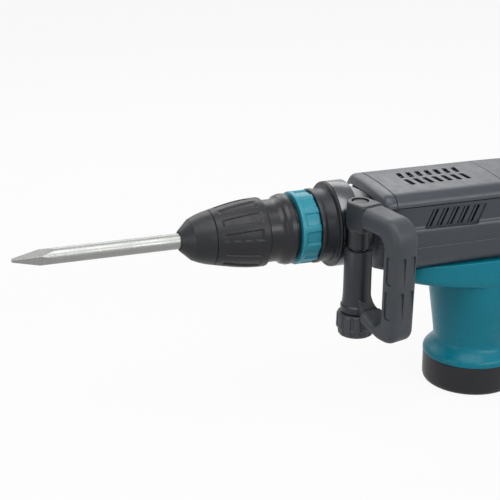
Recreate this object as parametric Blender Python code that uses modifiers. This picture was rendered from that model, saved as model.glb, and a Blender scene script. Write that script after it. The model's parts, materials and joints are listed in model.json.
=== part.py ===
"""Electric demolition hammer with a bull point, built as an assembly of separate pieces.

Metres, +Z up. The origin is the centre of the foot cap's flat underside. The tool axis runs along X at
height AXIS_Z, the bit points towards -X, and the motor stands upright on the Z axis.
Left and right are the operator's: left is -Y.
"""

import math

import bmesh
import bpy
from mathutils import Matrix, Vector

MM = 0.001

# Clearances and facets
GAP = 0.3 * MM
RUN = 0.4 * MM
BAND_RUN = 0.6 * MM
MERGE = 0.00001
REACH = 60 * MM
ROUND = 24
INNER = 16
SMALL = 12

# Tool axis, bit and nose
AXIS_Z = 226 * MM
NOSE_X = -382 * MM
BODY_LEN = 576 * MM
BIT_R = 9 * MM
BIT_REACH = 191 * MM
BIT_POINT = 47 * MM
BIT_TIP_R = 1.2 * MM
BIT_FLOAT = 24 * MM
SHANK = 88 * MM
NOSE_R = 12 * MM
CAP_LEN = 36.7 * MM
CAP_R = 31.4 * MM
CAP_EDGE = 13 * MM
CAP_EDGE_R = 23.6 * MM
CAP_WALL = 2 * MM

# Release cover, lock and retainer spring
COVER_LEN = 61.6 * MM
COVER_R = 39.8 * MM
COVER_WALL = 3.0 * MM
COVER_TRAVEL = 12 * MM
FLUTES = 12
FLUTE_W = 11 * MM
FLUTE_DEPTH = 1.2 * MM
ROLLER_R = 4.5 * MM
ROLLER_LEN = 20 * MM
GROOVE_FLOOR = 6 * MM
LOCK_R = 26 * MM
LOCK_LEN = 15 * MM
SPRING_R = 25 * MM
SPRING_WIRE = 1.4 * MM
SPRING_TURNS = 3

# Tool holder, guide sleeve and change ring
HOLDER_R = 19.5 * MM
HOLDER_REAR_R = 30 * MM
NECK_R = 36 * MM
NECK_LEN = 24.2 * MM
FLANGE_R = 41 * MM
FLANGE_W = 6.8 * MM
SPIGOT_R = 34.5 * MM
RING_R = 42.3 * MM
RING_W = 23 * MM
RING_RIM = 5 * MM
RING_TRAVEL = 5 * MM
RING_PADS = 12
RING_RECESS = 0.9 * MM

# Barrel and clamp band
BARREL_R = 42.3 * MM
COLLAR_R = 43.3 * MM
COLLAR_W = 6 * MM
LIP_R = 49.6 * MM
LIP_W = 2.4 * MM
LIP_SETBACK = 20 * MM
SEAT_R = 46.7 * MM
BAND_W = 21.6 * MM
BAND_T = 2.6 * MM
BARREL_LEN = 73.5 * MM
BARREL_END_R = 30.6 * MM

# Percussion: impact bolt, striker, cylinder and piston
ANVIL_NOSE_R = 8.6 * MM
ANVIL_R = 13.5 * MM
ANVIL_REAR_R = 10.5 * MM
ANVIL_NOSE = 14 * MM
ANVIL_LEN = 63 * MM
ANVIL_TRAVEL = 4 * MM
STRIKER_LEN = 46 * MM
STRIKER_NOSE = 10 * MM
STRIKER_TRAVEL = 13 * MM
BORE_R = 23.4 * MM
CYLINDER_WALL = 3.6 * MM
CYLINDER_LEN = 146 * MM
PISTON_LEN = 45 * MM
PISTON_HOLLOW_R = 16.5 * MM
PISTON_PIN_R = 5 * MM
PISTON_PIN_INSET = 26 * MM

# Crank drive
GEAR_MODULE = 1.4 * MM
GEAR_TEETH = 56
PINION_TEETH = 8
GEAR_FACE = 12 * MM
PIT_CLEAR = 3 * MM
GEAR_Z = 157 * MM
CRANK_R = 20 * MM
CRANK_DISC_R = 31 * MM
CRANK_DISC_T = 9 * MM
CRANK_SHAFT_R = 10 * MM
CRANK_PIN_R = 7.5 * MM
ROD_LEN = 74 * MM
ROD_T = 16 * MM
ROD_W = 12 * MM
ROD_RISE = 14 * MM
BEARING_R = 21 * MM
BEARING_T = 14 * MM

# Crankcase and upper covers
CASE_W = 84 * MM
CASE_TOP = 28 * MM
CASE_BOTTOM = -44 * MM
CASE_FRONT_X = -118 * MM
CASE_REAR_X = 40 * MM
CASE_FOOT_STEP = 2 * MM
CASE_FOOT_FRONT = 46 * MM
WAY_CLEAR = 3 * MM
CHAMBER_R = 37 * MM
LID_T = 3.6 * MM
WALL = 3.0 * MM
COVER_FRONT_X = -155 * MM
SEAM_X = 5 * MM
COVER_HALF_W = 60 * MM
COVER_DEPTH = 49.5 * MM
COVER_NOSE = 38 * MM
COVER_NOSE_GAP = 5 * MM
HOOD_TOP = 45 * MM
HOOD_FRONT_X = -153.2 * MM
HOOD_FACE = 12 * MM
HOOD_ROUND = 11 * MM
REAR_COVER_LEN = 75 * MM
TOP_VENTS = 6
TOP_VENT_PITCH = 14.4 * MM
TOP_VENT_W = 5 * MM
TOP_VENT_LEN = 19 * MM
TOP_VENT_INSET = 4 * MM
TOP_VENT_SETBACK = 104 * MM
SIDE_VENTS = 5
SIDE_VENT_PITCH = 13.6 * MM
SIDE_VENT_W = 7 * MM
SIDE_VENT_LEAN = 11 * MM
SIDE_VENT_H = 23 * MM
SIDE_VENT_RISE = 0.5 * MM
SIDE_VENT_SETBACK = 108 * MM

# Motor
MOTOR_BORE_R = 43 * MM
FAIRING_TOP = 176 * MM
FAIRING_DEPTH = 42 * MM
FAIRING_HALF_W = 56.5 * MM
FAIRING_FRONT_X = -117 * MM
FAIRING_REAR_X = 76 * MM
COLUMN_H = 112.7 * MM
FOOT_SEAM = 37 * MM
FOOT_R = 59.4 * MM
FOOT_FLAT_R = 53 * MM
FOOT_WALL = 3.5 * MM
STATOR_R = 42.5 * MM
STATOR_LEN = 58 * MM
STATOR_Z = 61 * MM
CORE_R = 23.5 * MM
CORE_LEN = 52 * MM
AIR_GAP = 0.8 * MM
SHAFT_R = 9 * MM
COMMUTATOR_R = 15 * MM
COMMUTATOR_LEN = 18 * MM
COMMUTATOR_Z = 38 * MM
FAN_R = 38 * MM
FAN_Z = 121 * MM
FAN_H = 12 * MM
FAN_BLADES = 7
TOP_BEARING_R = 19 * MM
TOP_BEARING_Z = 138.4 * MM
TOP_BEARING_T = 11 * MM
LOW_BEARING_R = 13 * MM
LOW_BEARING_Z = 18 * MM
LOW_BEARING_T = 10 * MM
JOURNAL_R = 6 * MM
BRUSH_W = 8 * MM
BRUSH_LEN = 16 * MM

# Side handle
SPLIT_Z = -8 * MM
EAR_T = 1.8 * MM
BOLT_Y = -66 * MM
BOLT_R = 5 * MM
BOLT_HEAD_R = 9.2 * MM
BOLT_HEAD_T = 7 * MM
HANDLE_SWING = 16.5
HANDLE_TOP = 45 * MM
HANDLE_RISE = 3.5 * MM
HANDLE_ARM = 23 * MM
HANDLE_BOTTOM = -99 * MM
HANDLE_LOW_ARM = 20 * MM
HANDLE_REACH = 83.3 * MM
GRIP_T = 27.3 * MM
GRIP_TAPER = 3 * MM
GRIP_W = 33 * MM
GRIP_START = 22 * MM
SPINE_INSET = 7.5 * MM
SPINE_W = 16 * MM
BLOCK_W = 30 * MM
BLOCK_H = 32 * MM
BOSS_R = 12 * MM
BAR_R = 16 * MM
BAR_BOTTOM = -84 * MM
KNOB_R = 22.8 * MM
KNOB_CLEAR = 2.5 * MM
KNOB_H = 27.5 * MM
KNOB_FLUTES = 10
KNOB_FLUTE_DEPTH = 1.5 * MM

# Rear handle
REAR_W = 36 * MM
REAR_EDGE = 9 * MM
REAR_GRIP_D = 36 * MM
REAR_LEAN = 7 * MM
REAR_TOP_R = 34 * MM
REAR_LOW_R = 30 * MM
REAR_INNER_R = 14 * MM
REAR_LOW_Z = 74 * MM
UPPER_ARM_RISE = 34 * MM
UPPER_ARM_H = 52 * MM
UPPER_ARM_FRONT = 59 * MM
LOWER_ARM_T = 30 * MM
LOWER_ARM_DROP = 8 * MM
LOWER_ARM_X = 40 * MM
REAR_GRIP_T = 8 * MM
PAD_LEN = 100 * MM
PAD_DROP = 10 * MM
TRIGGER_W = 18 * MM
TRIGGER_LEN = 42 * MM
TRIGGER_D = 20 * MM
TRIGGER_INSET = 2 * MM
SWITCH_D = 9 * MM
SWITCH_H = 36 * MM
BUTTON_R = 4.5 * MM
BUTTON_LEN = 10 * MM
BUTTON_TRAVEL = 3 * MM
BUTTON_RISE = 14 * MM
DIAL_R = 14 * MM
DIAL_T = 8 * MM
DIAL_SETBACK = 20 * MM
DIAL_PROUD = 0.5 * MM
CONTROL_RISE = 12 * MM
CONTROL_W = 48 * MM
CONTROL_H = 52 * MM
LAMP_R = 3 * MM
LAMP_LEN = 6.5 * MM
LAMP_PITCH = 12 * MM
INLET_R = 8 * MM
INLET_BORE_R = 5 * MM
INLET_LEN = 14 * MM

# Places worked out from the sizes above
SEAM_CAP_X = NOSE_X + CAP_LEN
COVER_END_X = SEAM_CAP_X + COVER_LEN
FLANGE_X = COVER_END_X + NECK_LEN
RING_X = FLANGE_X + FLANGE_W + RING_TRAVEL + 2 * GAP
BARREL_X = RING_X + RING_W + 2 * GAP
BARREL_END_X = BARREL_X + BARREL_LEN
LIP_X = BARREL_X + LIP_SETBACK
BAND_X = LIP_X + LIP_W + GAP
BAND_END_X = BAND_X + BAND_W
BOLT_X = (BAND_X + BAND_END_X) / 2
SHANK_X = NOSE_X + SHANK
ANVIL_X = SHANK_X + ANVIL_TRAVEL + 1 * MM
ANVIL_END_X = ANVIL_X + ANVIL_LEN
ROLLER_X = SEAM_CAP_X - 11 * MM
CRANK_X = -GEAR_MODULE * (GEAR_TEETH + PINION_TEETH) / 2
CRANK_PIN_X = CRANK_X + CRANK_R
PISTON_PIN_X = CRANK_PIN_X - ROD_LEN
PISTON_X = PISTON_PIN_X - PISTON_PIN_INSET
STRIKER_END_X = PISTON_X - 2 * CRANK_R - 2 * MM
STRIKER_X = STRIKER_END_X - STRIKER_LEN
CYLINDER_R = BORE_R + CYLINDER_WALL
CYLINDER_X = ANVIL_END_X - 1 * MM
CYLINDER_END_X = CYLINDER_X + CYLINDER_LEN
DISC_TOP = AXIS_Z - ROD_T / 2 - ROD_RISE
BEARING_Z = AXIS_Z + CASE_BOTTOM - 4 * MM
REAR_X = NOSE_X + BODY_LEN
HOLDER_X = NOSE_X + CAP_EDGE * (HOLDER_R + GAP + CAP_WALL - NOSE_R) / (CAP_EDGE_R - NOSE_R)
REAR_COVER_END_X = SEAM_X + REAR_COVER_LEN
DIAL_X = REAR_COVER_END_X - DIAL_SETBACK
DIAL_Y = DIAL_R - DIAL_PROUD - 0.95 * COVER_HALF_W
DIAL_Z = AXIS_Z + CONTROL_RISE
UPPER_ARM_Z = AXIS_Z + UPPER_ARM_RISE
PAD_TOP = AXIS_Z - PAD_DROP
PAD_BOTTOM = PAD_TOP - PAD_LEN
TRIGGER_X = REAR_X - REAR_GRIP_D + TRIGGER_INSET
TRIGGER_Z = UPPER_ARM_Z - UPPER_ARM_H - 4 * MM
SWITCH_X = TRIGGER_X + 12 * MM
BUTTON_X = TRIGGER_X + 6 * MM
BUTTON_Y = -REAR_W / 2 - BUTTON_TRAVEL - 1 * MM
BUTTON_Z = TRIGGER_Z + BUTTON_RISE
INLET_X = REAR_X - REAR_LEAN - REAR_LOW_R - INLET_R
INLET_Z = REAR_LOW_Z - 4 * MM
CASE_FOOT_W = CASE_W - 2 * CASE_FOOT_STEP
EAR_TOP = SPLIT_Z + GAP + EAR_T
EAR_BOTTOM = SPLIT_Z - GAP - EAR_T

LOOKS = {
    "bit_steel": ((0.62, 0.61, 0.58), 0.35, 1.0),
    "bright_steel": ((0.70, 0.70, 0.71), 0.25, 1.0),
    "dark_steel": ((0.22, 0.22, 0.23), 0.40, 1.0),
    "cast_aluminium": ((0.46, 0.47, 0.48), 0.50, 1.0),
    "black_plastic": ((0.050, 0.053, 0.058), 0.50, 0.0),
    "charcoal_plastic": ((0.085, 0.092, 0.100), 0.55, 0.0),
    "soft_rubber": ((0.060, 0.064, 0.068), 0.75, 0.0),
    "teal_plastic": ((0.012, 0.175, 0.225), 0.35, 0.0),
    "copper": ((0.60, 0.30, 0.16), 0.40, 1.0),
    "laminated_steel": ((0.35, 0.35, 0.36), 0.55, 1.0),
    "carbon": ((0.03, 0.03, 0.03), 0.80, 0.0),
    "green_lens": ((0.05, 0.35, 0.10), 0.20, 0.0),
    "red_lens": ((0.45, 0.04, 0.03), 0.20, 0.0),
}


# Scene and mesh helpers


def empty_scene():
    for obj in list(bpy.data.objects):
        bpy.data.objects.remove(obj)


def make_collection(name):
    made = bpy.data.collections.new(name)
    bpy.context.scene.collection.children.link(made)
    return made


empty_scene()
PIECES = make_collection("demolition_hammer")
CUTTERS = make_collection("cutters")


def material(name, look):
    colour, roughness, metallic = LOOKS[look]
    made = bpy.data.materials.new(name)
    made.use_nodes = True
    shader = made.node_tree.nodes["Principled BSDF"]
    shader.inputs["Base Color"].default_value = (*colour, 1.0)
    shader.inputs["Roughness"].default_value = roughness
    shader.inputs["Metallic"].default_value = metallic
    return made


def place(name, mesh, look, parent=None):
    """Links an object as a piece with its own material, or as a cutter where there is no look."""
    obj = bpy.data.objects.new(name, mesh)
    obj.parent = parent
    if look is None:
        CUTTERS.objects.link(obj)
        obj.hide_render = True
        obj.display_type = "WIRE"
        return obj
    PIECES.objects.link(obj)
    mesh.materials.append(material(name + "_finish", look))
    return obj


def moved_to(obj, origin):
    """Puts the object's origin at a point of the model without moving its shape."""
    obj.data.transform(Matrix.Translation(-Vector(origin)))
    obj.location = origin
    return obj


def turned(name, path, look, axis="X", at=(0, 0), steps=ROUND, parent=None):
    """A turned piece. The path holds (station, radius) points: down the outer side from the greatest
    station to the least, then back up the bore, or from axis to axis where the ends have no radius."""
    bm = bmesh.new()
    verts = [bm.verts.new((radius, 0, station)) for station, radius in path]
    for first, second in zip(verts, verts[1:]):
        bm.edges.new((first, second))
    if path[0][1] > 0:
        bm.edges.new((verts[-1], verts[0]))
    mesh = bpy.data.meshes.new(name)
    bm.to_mesh(mesh)
    bm.free()
    obj = place(name, mesh, look, parent)
    if axis == "X":
        obj.rotation_euler = (0, math.pi / 2, 0)
        obj.location = (0, 0, AXIS_Z)
    else:
        obj.location = (*at, 0)
    screw = obj.modifiers.new("turn", "SCREW")
    screw.axis = "Z"
    screw.steps = steps
    screw.render_steps = steps
    screw.use_merge_vertices = True
    screw.merge_threshold = MERGE
    return obj


def solid_bar(*points):
    """Path of a solid turned piece, from (station, radius) points of rising station."""
    down = list(reversed(points))
    return [(down[0][0], 0)] + down + [(down[-1][0], 0)]


def tube(outer, bore):
    """Path of a turned piece with a bore. Both lists hold (station, radius) points of rising station."""
    return list(reversed(outer)) + list(bore)


def arc(middle, radius, start, end, steps):
    """Points of an arc, in degrees, both ends included."""
    points = []
    for i in range(steps + 1):
        angle = math.radians(start + (end - start) * i / steps)
        points.append((middle[0] + radius * math.cos(angle), middle[1] + radius * math.sin(angle)))
    return points


def circle(middle, radius, steps=INNER):
    return arc(middle, radius, 0, 360, steps)[:-1]


PLANES = {
    "XY": Matrix(((1, 0, 0), (0, 1, 0), (0, 0, 1))).to_4x4(),
    "XZ": Matrix(((1, 0, 0), (0, 0, -1), (0, 1, 0))).to_4x4(),
    "YZ": Matrix(((0, 0, 1), (1, 0, 0), (0, 1, 0))).to_4x4(),
}


def outline_mesh(name, loops, thickness, plane="XY", offset=(0, 0, 0)):
    """A flat outline of closed loops, given a thickness about its plane."""
    curve = bpy.data.curves.new(name, "CURVE")
    curve.dimensions = "2D"
    curve.fill_mode = "BOTH"
    curve.extrude = thickness / 2
    for loop in loops:
        spline = curve.splines.new("POLY")
        spline.points.add(len(loop) - 1)
        for point, (u, v) in zip(spline.points, loop):
            point.co = (u, v, 0, 1)
        spline.use_cyclic_u = True
    holder = bpy.data.objects.new(name, curve)
    CUTTERS.objects.link(holder)
    graph = bpy.context.evaluated_depsgraph_get()
    mesh = bpy.data.meshes.new_from_object(holder.evaluated_get(graph))
    bpy.data.objects.remove(holder)
    bm = bmesh.new()
    bm.from_mesh(mesh)
    bmesh.ops.remove_doubles(bm, verts=bm.verts, dist=MERGE)
    bmesh.ops.recalc_face_normals(bm, faces=bm.faces)
    bm.to_mesh(mesh)
    bm.free()
    mesh.transform(Matrix.Translation(offset) @ PLANES[plane])
    return mesh


def bmesh_mesh(name, bm):
    mesh = bpy.data.meshes.new(name)
    bm.to_mesh(mesh)
    bm.free()
    return mesh


def add_box(bm, low, high, turn=None):
    size = Vector(high) - Vector(low)
    middle = (Vector(high) + Vector(low)) / 2
    matrix = Matrix.Translation(middle) @ Matrix.Diagonal((*size, 1))
    bmesh.ops.create_cube(bm, size=1, matrix=(turn or Matrix()) @ matrix)


def add_cylinder(bm, radius, length, matrix, steps=SMALL):
    """A cylinder along the matrix's own Z axis, centred on its origin."""
    bmesh.ops.create_cone(
        bm, cap_ends=True, segments=steps, radius1=radius, radius2=radius, depth=length, matrix=matrix
    )


def box(name, low, high, look, parent=None):
    bm = bmesh.new()
    add_box(bm, low, high)
    return place(name, bmesh_mesh(name, bm), look, parent)


def cylinder(name, radius, start, end, look, steps=SMALL, parent=None):
    """A cylinder between two points."""
    along = Vector(end) - Vector(start)
    middle = (Vector(end) + Vector(start)) / 2
    matrix = Matrix.Translation(middle) @ along.to_track_quat("Z", "Y").to_matrix().to_4x4()
    bm = bmesh.new()
    add_cylinder(bm, radius, along.length, matrix, steps)
    return place(name, bmesh_mesh(name, bm), look, parent)


def loft_mesh(name, rings, capped=(True, True), closed=True):
    """A skin through rings of points, in rising X, each ring running from -Y over the top to +Y."""
    bm = bmesh.new()
    rows = [[bm.verts.new(point) for point in ring] for ring in rings]
    count = len(rings[0])
    for front, back in zip(rows, rows[1:]):
        for i in range(count if closed else count - 1):
            j = (i + 1) % count
            bm.faces.new((front[i], back[i], back[j], front[j]))
    if capped[0]:
        bm.faces.new(rows[0])
    if capped[1]:
        bm.faces.new(list(reversed(rows[-1])))
    return bmesh_mesh(name, bm)


def join(obj, tool, operation):
    modifier = obj.modifiers.new(tool.name, "BOOLEAN")
    modifier.operation = operation
    modifier.object = tool
    modifier.solver = "EXACT"


def cut(obj, *tools):
    for tool in tools:
        join(obj, tool, "DIFFERENCE")


def unite(obj, *tools):
    for tool in tools:
        join(obj, tool, "UNION")


def rounded(obj, width, segments=1):
    """Rounds every sharp edge."""
    bevel = obj.modifiers.new("rounding", "BEVEL")
    bevel.width = width
    bevel.segments = segments
    bevel.limit_method = "ANGLE"
    bevel.angle_limit = math.radians(40)


def rim_rounded(obj, width, segments=2):
    """Rounds the two rims of a piece drawn in the XZ plane, and leaves its other edges sharp."""
    bm = bmesh.new()
    bm.from_mesh(obj.data)
    bmesh.ops.dissolve_limit(bm, angle_limit=math.radians(1), verts=bm.verts, edges=bm.edges)
    weight = bm.edges.layers.float.new("bevel_weight_edge")
    for edge in bm.edges:
        first, second = edge.verts
        level = abs(first.co.y - second.co.y) < MERGE
        if level and edge.calc_face_angle() > math.radians(40):
            edge[weight] = 1
    bm.to_mesh(obj.data)
    bm.free()
    bevel = obj.modifiers.new("rounding", "BEVEL")
    bevel.width = width
    bevel.segments = segments
    bevel.limit_method = "WEIGHT"
    bevel.use_clamp_overlap = False


def walled(obj, thickness):
    wall = obj.modifiers.new("wall", "SOLIDIFY")
    wall.thickness = thickness
    wall.offset = -1
    wall.use_even_offset = True


def smooth(obj):
    obj.data.shade_smooth()
    obj.data.set_sharp_from_angle(angle=math.radians(35))


# Bit and chuck


def bull_point():
    tip = NOSE_X - BIT_REACH
    bit = turned("bull_point", solid_bar((tip, BIT_R), (SHANK_X, BIT_R)), "bit_steel", steps=24)
    length = SHANK_X - tip
    widest = BIT_TIP_R + (BIT_R - BIT_TIP_R) * length / BIT_POINT
    bm = bmesh.new()
    side = math.sqrt(2)
    stand = Matrix.Translation((tip + length / 2, 0, AXIS_Z)) @ Matrix.Rotation(math.pi / 2, 4, "Y")
    bmesh.ops.create_cone(
        bm,
        cap_ends=True,
        segments=4,
        radius1=BIT_TIP_R * side,
        radius2=widest * side,
        depth=length,
        matrix=stand,
    )
    join(bit, place("point_facets", bmesh_mesh("point_facets", bm), None), "INTERSECT")
    grooves = bmesh.new()
    half = ROLLER_R + RUN
    for side in (-1, 1):
        floor, top = sorted((side * GROOVE_FLOOR, side * 2 * BIT_R))
        low = (ROLLER_X - 1 * MM, -half, AXIS_Z + floor)
        high = (ROLLER_X + ROLLER_LEN + BIT_FLOAT + 1 * MM, half, AXIS_Z + top)
        add_box(grooves, low, high)
    cut(bit, place("locking_grooves", bmesh_mesh("locking_grooves", grooves), None))


def nose_cap():
    bore = HOLDER_R + GAP
    outer = [(NOSE_X, NOSE_R), (NOSE_X + CAP_EDGE, CAP_EDGE_R), (SEAM_CAP_X - 7 * MM, CAP_R - 1.8 * MM)]
    outer.append((SEAM_CAP_X - GAP, CAP_R))
    seat = HOLDER_X - GAP
    inner = [(NOSE_X, BIT_R + RUN), (seat, BIT_R + RUN), (seat, bore), (SEAM_CAP_X - GAP, bore)]
    turned("nose_cap", tube(outer, inner), "soft_rubber")


def cover_radius(x):
    """Outer radius of the release cover: a curve that flattens towards its rear."""
    share = (x - SEAM_CAP_X) / COVER_LEN
    return CAP_R + (COVER_R - CAP_R) * math.sin(min(share * 1.08, 1) * math.pi / 2)


def release_cover():
    stations = [SEAM_CAP_X + COVER_LEN * share for share in (0, 0.2, 0.42, 0.65, 0.9)]
    outer = [(x, cover_radius(x)) for x in stations]
    outer.append((COVER_END_X - 1.5 * MM, COVER_R))
    outer.append((COVER_END_X, COVER_R - 1 * MM))
    bore = NECK_R + RUN
    bore_x = COVER_END_X - COVER_TRAVEL - 8 * MM
    inner = [(SEAM_CAP_X, CAP_R - COVER_WALL), (stations[1], cover_radius(stations[1]) - COVER_WALL)]
    inner += [(bore_x, bore), (COVER_END_X, bore)]
    cover = turned("release_cover", tube(outer, inner), "black_plastic")
    cut(cover, flute_cutters())
    smooth(cover)


def flute_cutters():
    start = SEAM_CAP_X + 8 * MM
    end = COVER_END_X - 10 * MM
    low = cover_radius(start)
    high = cover_radius(end)
    slope = math.atan2(high - low, end - start)
    length = math.hypot(end - start, high - low)
    bm = bmesh.new()
    for i in range(FLUTES):
        turn = Matrix.Rotation(2 * math.pi * (i + 0.5) / FLUTES, 4, "X")
        stand = Matrix.Translation((start, 0, low - FLUTE_DEPTH)) @ Matrix.Rotation(-slope, 4, "Y")
        matrix = Matrix.Translation((0, 0, AXIS_Z)) @ turn @ stand
        add_box(bm, (0, -FLUTE_W / 2, 0), (length, FLUTE_W / 2, 8 * MM), matrix)
    return place("flute_cutters", bmesh_mesh("flute_cutters", bm), None)


def lock_ring():
    start = SEAM_CAP_X - GAP + 2 * GAP
    outer = [(start, LOCK_R), (start + LOCK_LEN, LOCK_R)]
    inner = [(start, HOLDER_R + RUN), (start + LOCK_LEN, HOLDER_R + RUN)]
    turned("lock_ring", tube(outer, inner), "dark_steel", steps=INNER)


def lock_rollers():
    for name, side in (("lock_roller_upper", 1), ("lock_roller_lower", -1)):
        height = side * (GROOVE_FLOOR + GAP + ROLLER_R)
        points = [(0, ROLLER_R - 1 * MM), (1 * MM, ROLLER_R), (ROLLER_LEN - 1 * MM, ROLLER_R)]
        points.append((ROLLER_LEN, ROLLER_R - 1 * MM))
        roller = turned(name, solid_bar(*points), "bright_steel", steps=12)
        roller.location = (ROLLER_X, 0, AXIS_Z + height)


def retainer_spring():
    start = SEAM_CAP_X + LOCK_LEN + SPRING_WIRE + 2 * GAP
    end = COVER_END_X - COVER_TRAVEL - SPRING_WIRE - 2 * GAP
    curve = bpy.data.curves.new("retainer_spring", "CURVE")
    curve.dimensions = "3D"
    curve.bevel_depth = SPRING_WIRE
    curve.bevel_resolution = 0
    curve.use_fill_caps = True
    spline = curve.splines.new("POLY")
    per_turn = 12
    count = SPRING_TURNS * per_turn
    spline.points.add(count)
    for i, point in enumerate(spline.points):
        angle = 2 * math.pi * i / per_turn
        x = start + (end - start) * i / count
        point.co = (x, SPRING_R * math.cos(angle), SPRING_R * math.sin(angle), 1)
    obj = bpy.data.objects.new("retainer_spring", curve)
    PIECES.objects.link(obj)
    obj.location = (0, 0, AXIS_Z)
    curve.materials.append(material("retainer_spring_finish", "bright_steel"))
    weld = obj.modifiers.new("caps", "WELD")
    weld.merge_threshold = MERGE


def tool_holder():
    shoulder = COVER_END_X - COVER_TRAVEL + 2 * MM
    rear = LIP_X - 2 * MM
    anvil_seat = ANVIL_X + ANVIL_NOSE - ANVIL_TRAVEL - 1 * MM
    back = ANVIL_END_X - 5 * MM
    outer = [(HOLDER_X, HOLDER_R), (shoulder, HOLDER_R), (shoulder, HOLDER_REAR_R), (rear, HOLDER_REAR_R)]
    inner = [(HOLDER_X, BIT_R + RUN), (anvil_seat, BIT_R + RUN), (anvil_seat, ANVIL_R + RUN)]
    inner += [(back, ANVIL_R + RUN), (back, CYLINDER_R + RUN), (rear, CYLINDER_R + RUN)]
    holder = turned("tool_holder", tube(outer, inner), "dark_steel")
    bm = bmesh.new()
    half = ROLLER_R + RUN
    add_box(
        bm,
        (ROLLER_X - GAP, -half, AXIS_Z - 2 * HOLDER_R),
        (ROLLER_X + ROLLER_LEN + GAP, half, AXIS_Z + 2 * HOLDER_R),
    )
    cut(holder, place("roller_slots", bmesh_mesh("roller_slots", bm), None))


def guide_sleeve():
    start = COVER_END_X - 6 * MM
    flange_end = FLANGE_X + FLANGE_W
    end = RING_X + RING_W - 9 * MM
    outer = [(start, NECK_R), (FLANGE_X - 8 * MM, NECK_R), (FLANGE_X - 3 * MM, NECK_R + 2 * MM)]
    outer += [(FLANGE_X, FLANGE_R), (flange_end, FLANGE_R), (flange_end, SPIGOT_R), (end, SPIGOT_R)]
    inner = [(start, HOLDER_REAR_R + GAP), (end, HOLDER_REAR_R + GAP)]
    smooth(turned("guide_sleeve", tube(outer, inner), "black_plastic"))


def change_ring():
    end = RING_X + RING_W
    outer = [(RING_X, RING_R - 0.8 * MM), (RING_X + 1 * MM, RING_R)]
    outer += [(end - 2 * MM, RING_R), (end, RING_R - 1 * MM)]
    inner = [(RING_X, SPIGOT_R + RUN), (end, SPIGOT_R + RUN)]
    ring = turned("change_ring", tube(outer, inner), "teal_plastic")
    bm = bmesh.new()
    pad = 2 * math.pi * RING_R / RING_PADS
    for i in range(RING_PADS):
        turn = Matrix.Translation((0, 0, AXIS_Z)) @ Matrix.Rotation(2 * math.pi * i / RING_PADS, 4, "X")
        low = (RING_X + RING_RIM, -pad * 0.12, RING_R - RING_RECESS)
        add_box(bm, low, (end + 1 * MM, pad * 0.12, RING_R + 2 * MM), turn)
    cut(ring, place("ring_grooves", bmesh_mesh("ring_grooves", bm), None))


# Barrel, percussion and crank drive


def barrel():
    step = LIP_X + 6 * MM
    outer = [(BARREL_X, COLLAR_R), (BARREL_X + COLLAR_W, COLLAR_R)]
    outer += [(BARREL_X + COLLAR_W + 1 * MM, BARREL_R), (LIP_X, BARREL_R), (LIP_X, LIP_R)]
    outer += [(BAND_X - GAP, LIP_R), (BAND_X - GAP, SEAT_R), (BAND_END_X + GAP, SEAT_R)]
    outer += [(BARREL_END_X, BARREL_END_R)]
    front = HOLDER_REAR_R + RUN
    inner = [(BARREL_X, front), (step, front), (step, CYLINDER_R + GAP), (BARREL_END_X, CYLINDER_R + GAP)]
    smooth(turned("barrel", tube(outer, inner), "dark_steel"))


def impact_bolt():
    nose = ANVIL_X + ANVIL_NOSE
    rear = ANVIL_END_X - 20 * MM
    points = [(ANVIL_X, ANVIL_NOSE_R), (nose, ANVIL_NOSE_R), (nose + 2 * MM, ANVIL_R), (rear, ANVIL_R)]
    points += [(rear + 2 * MM, ANVIL_REAR_R), (ANVIL_END_X, ANVIL_REAR_R)]
    turned("impact_bolt", solid_bar(*points), "bright_steel", steps=INNER)


def striker():
    body = BORE_R - RUN
    shoulder = STRIKER_X + STRIKER_NOSE
    points = [(STRIKER_X, ANVIL_REAR_R), (shoulder - 2 * MM, ANVIL_REAR_R)]
    points += [(shoulder, body), (STRIKER_END_X, body)]
    turned("striker", solid_bar(*points), "bright_steel", steps=INNER)


def cylinder_tube():
    outer = [(CYLINDER_X, CYLINDER_R), (CYLINDER_END_X, CYLINDER_R)]
    inner = [(CYLINDER_X, BORE_R), (CYLINDER_END_X, BORE_R)]
    turned("cylinder", tube(outer, inner), "bright_steel")


def piston():
    end = PISTON_X + PISTON_LEN
    floor = PISTON_X + 12 * MM
    radius = BORE_R - RUN
    path = [(floor, 0), (floor, PISTON_HOLLOW_R), (end, PISTON_HOLLOW_R), (end, radius), (PISTON_X, radius)]
    path.append((PISTON_X, 0))
    crown = turned("piston", path, "cast_aluminium", steps=INNER)
    low = (PISTON_PIN_X, 0, AXIS_Z - REACH)
    high = (PISTON_PIN_X, 0, AXIS_Z + REACH)
    cut(crown, cylinder("piston_pin_hole", PISTON_PIN_R + GAP, low, high, None))


def piston_pin():
    half = math.sqrt((BORE_R - RUN) ** 2 - PISTON_PIN_R**2) - 1 * MM
    path = solid_bar((AXIS_Z - half, PISTON_PIN_R), (AXIS_Z + half, PISTON_PIN_R))
    turned("piston_pin", path, "bright_steel", axis="Z", at=(PISTON_PIN_X, 0), steps=SMALL)


def connecting_rod():
    small_eye = PISTON_PIN_R + 5.5 * MM
    big_eye = CRANK_PIN_R + 5.5 * MM
    half = ROD_W / 2
    small_turn = math.degrees(math.asin(half / small_eye))
    big_turn = math.degrees(math.asin(half / big_eye))
    loop = arc((PISTON_PIN_X, 0), small_eye, small_turn, 360 - small_turn, 10)
    loop += arc((CRANK_PIN_X, 0), big_eye, -180 + big_turn, 180 - big_turn, 10)
    holes = [circle((PISTON_PIN_X, 0), PISTON_PIN_R + GAP)]
    holes.append(circle((CRANK_PIN_X, 0), CRANK_PIN_R + GAP))
    mesh = outline_mesh("connecting_rod", [loop] + holes, ROD_T, offset=(0, 0, AXIS_Z))
    moved_to(place("connecting_rod", mesh, "dark_steel"), (CRANK_PIN_X, 0, AXIS_Z))


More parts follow.
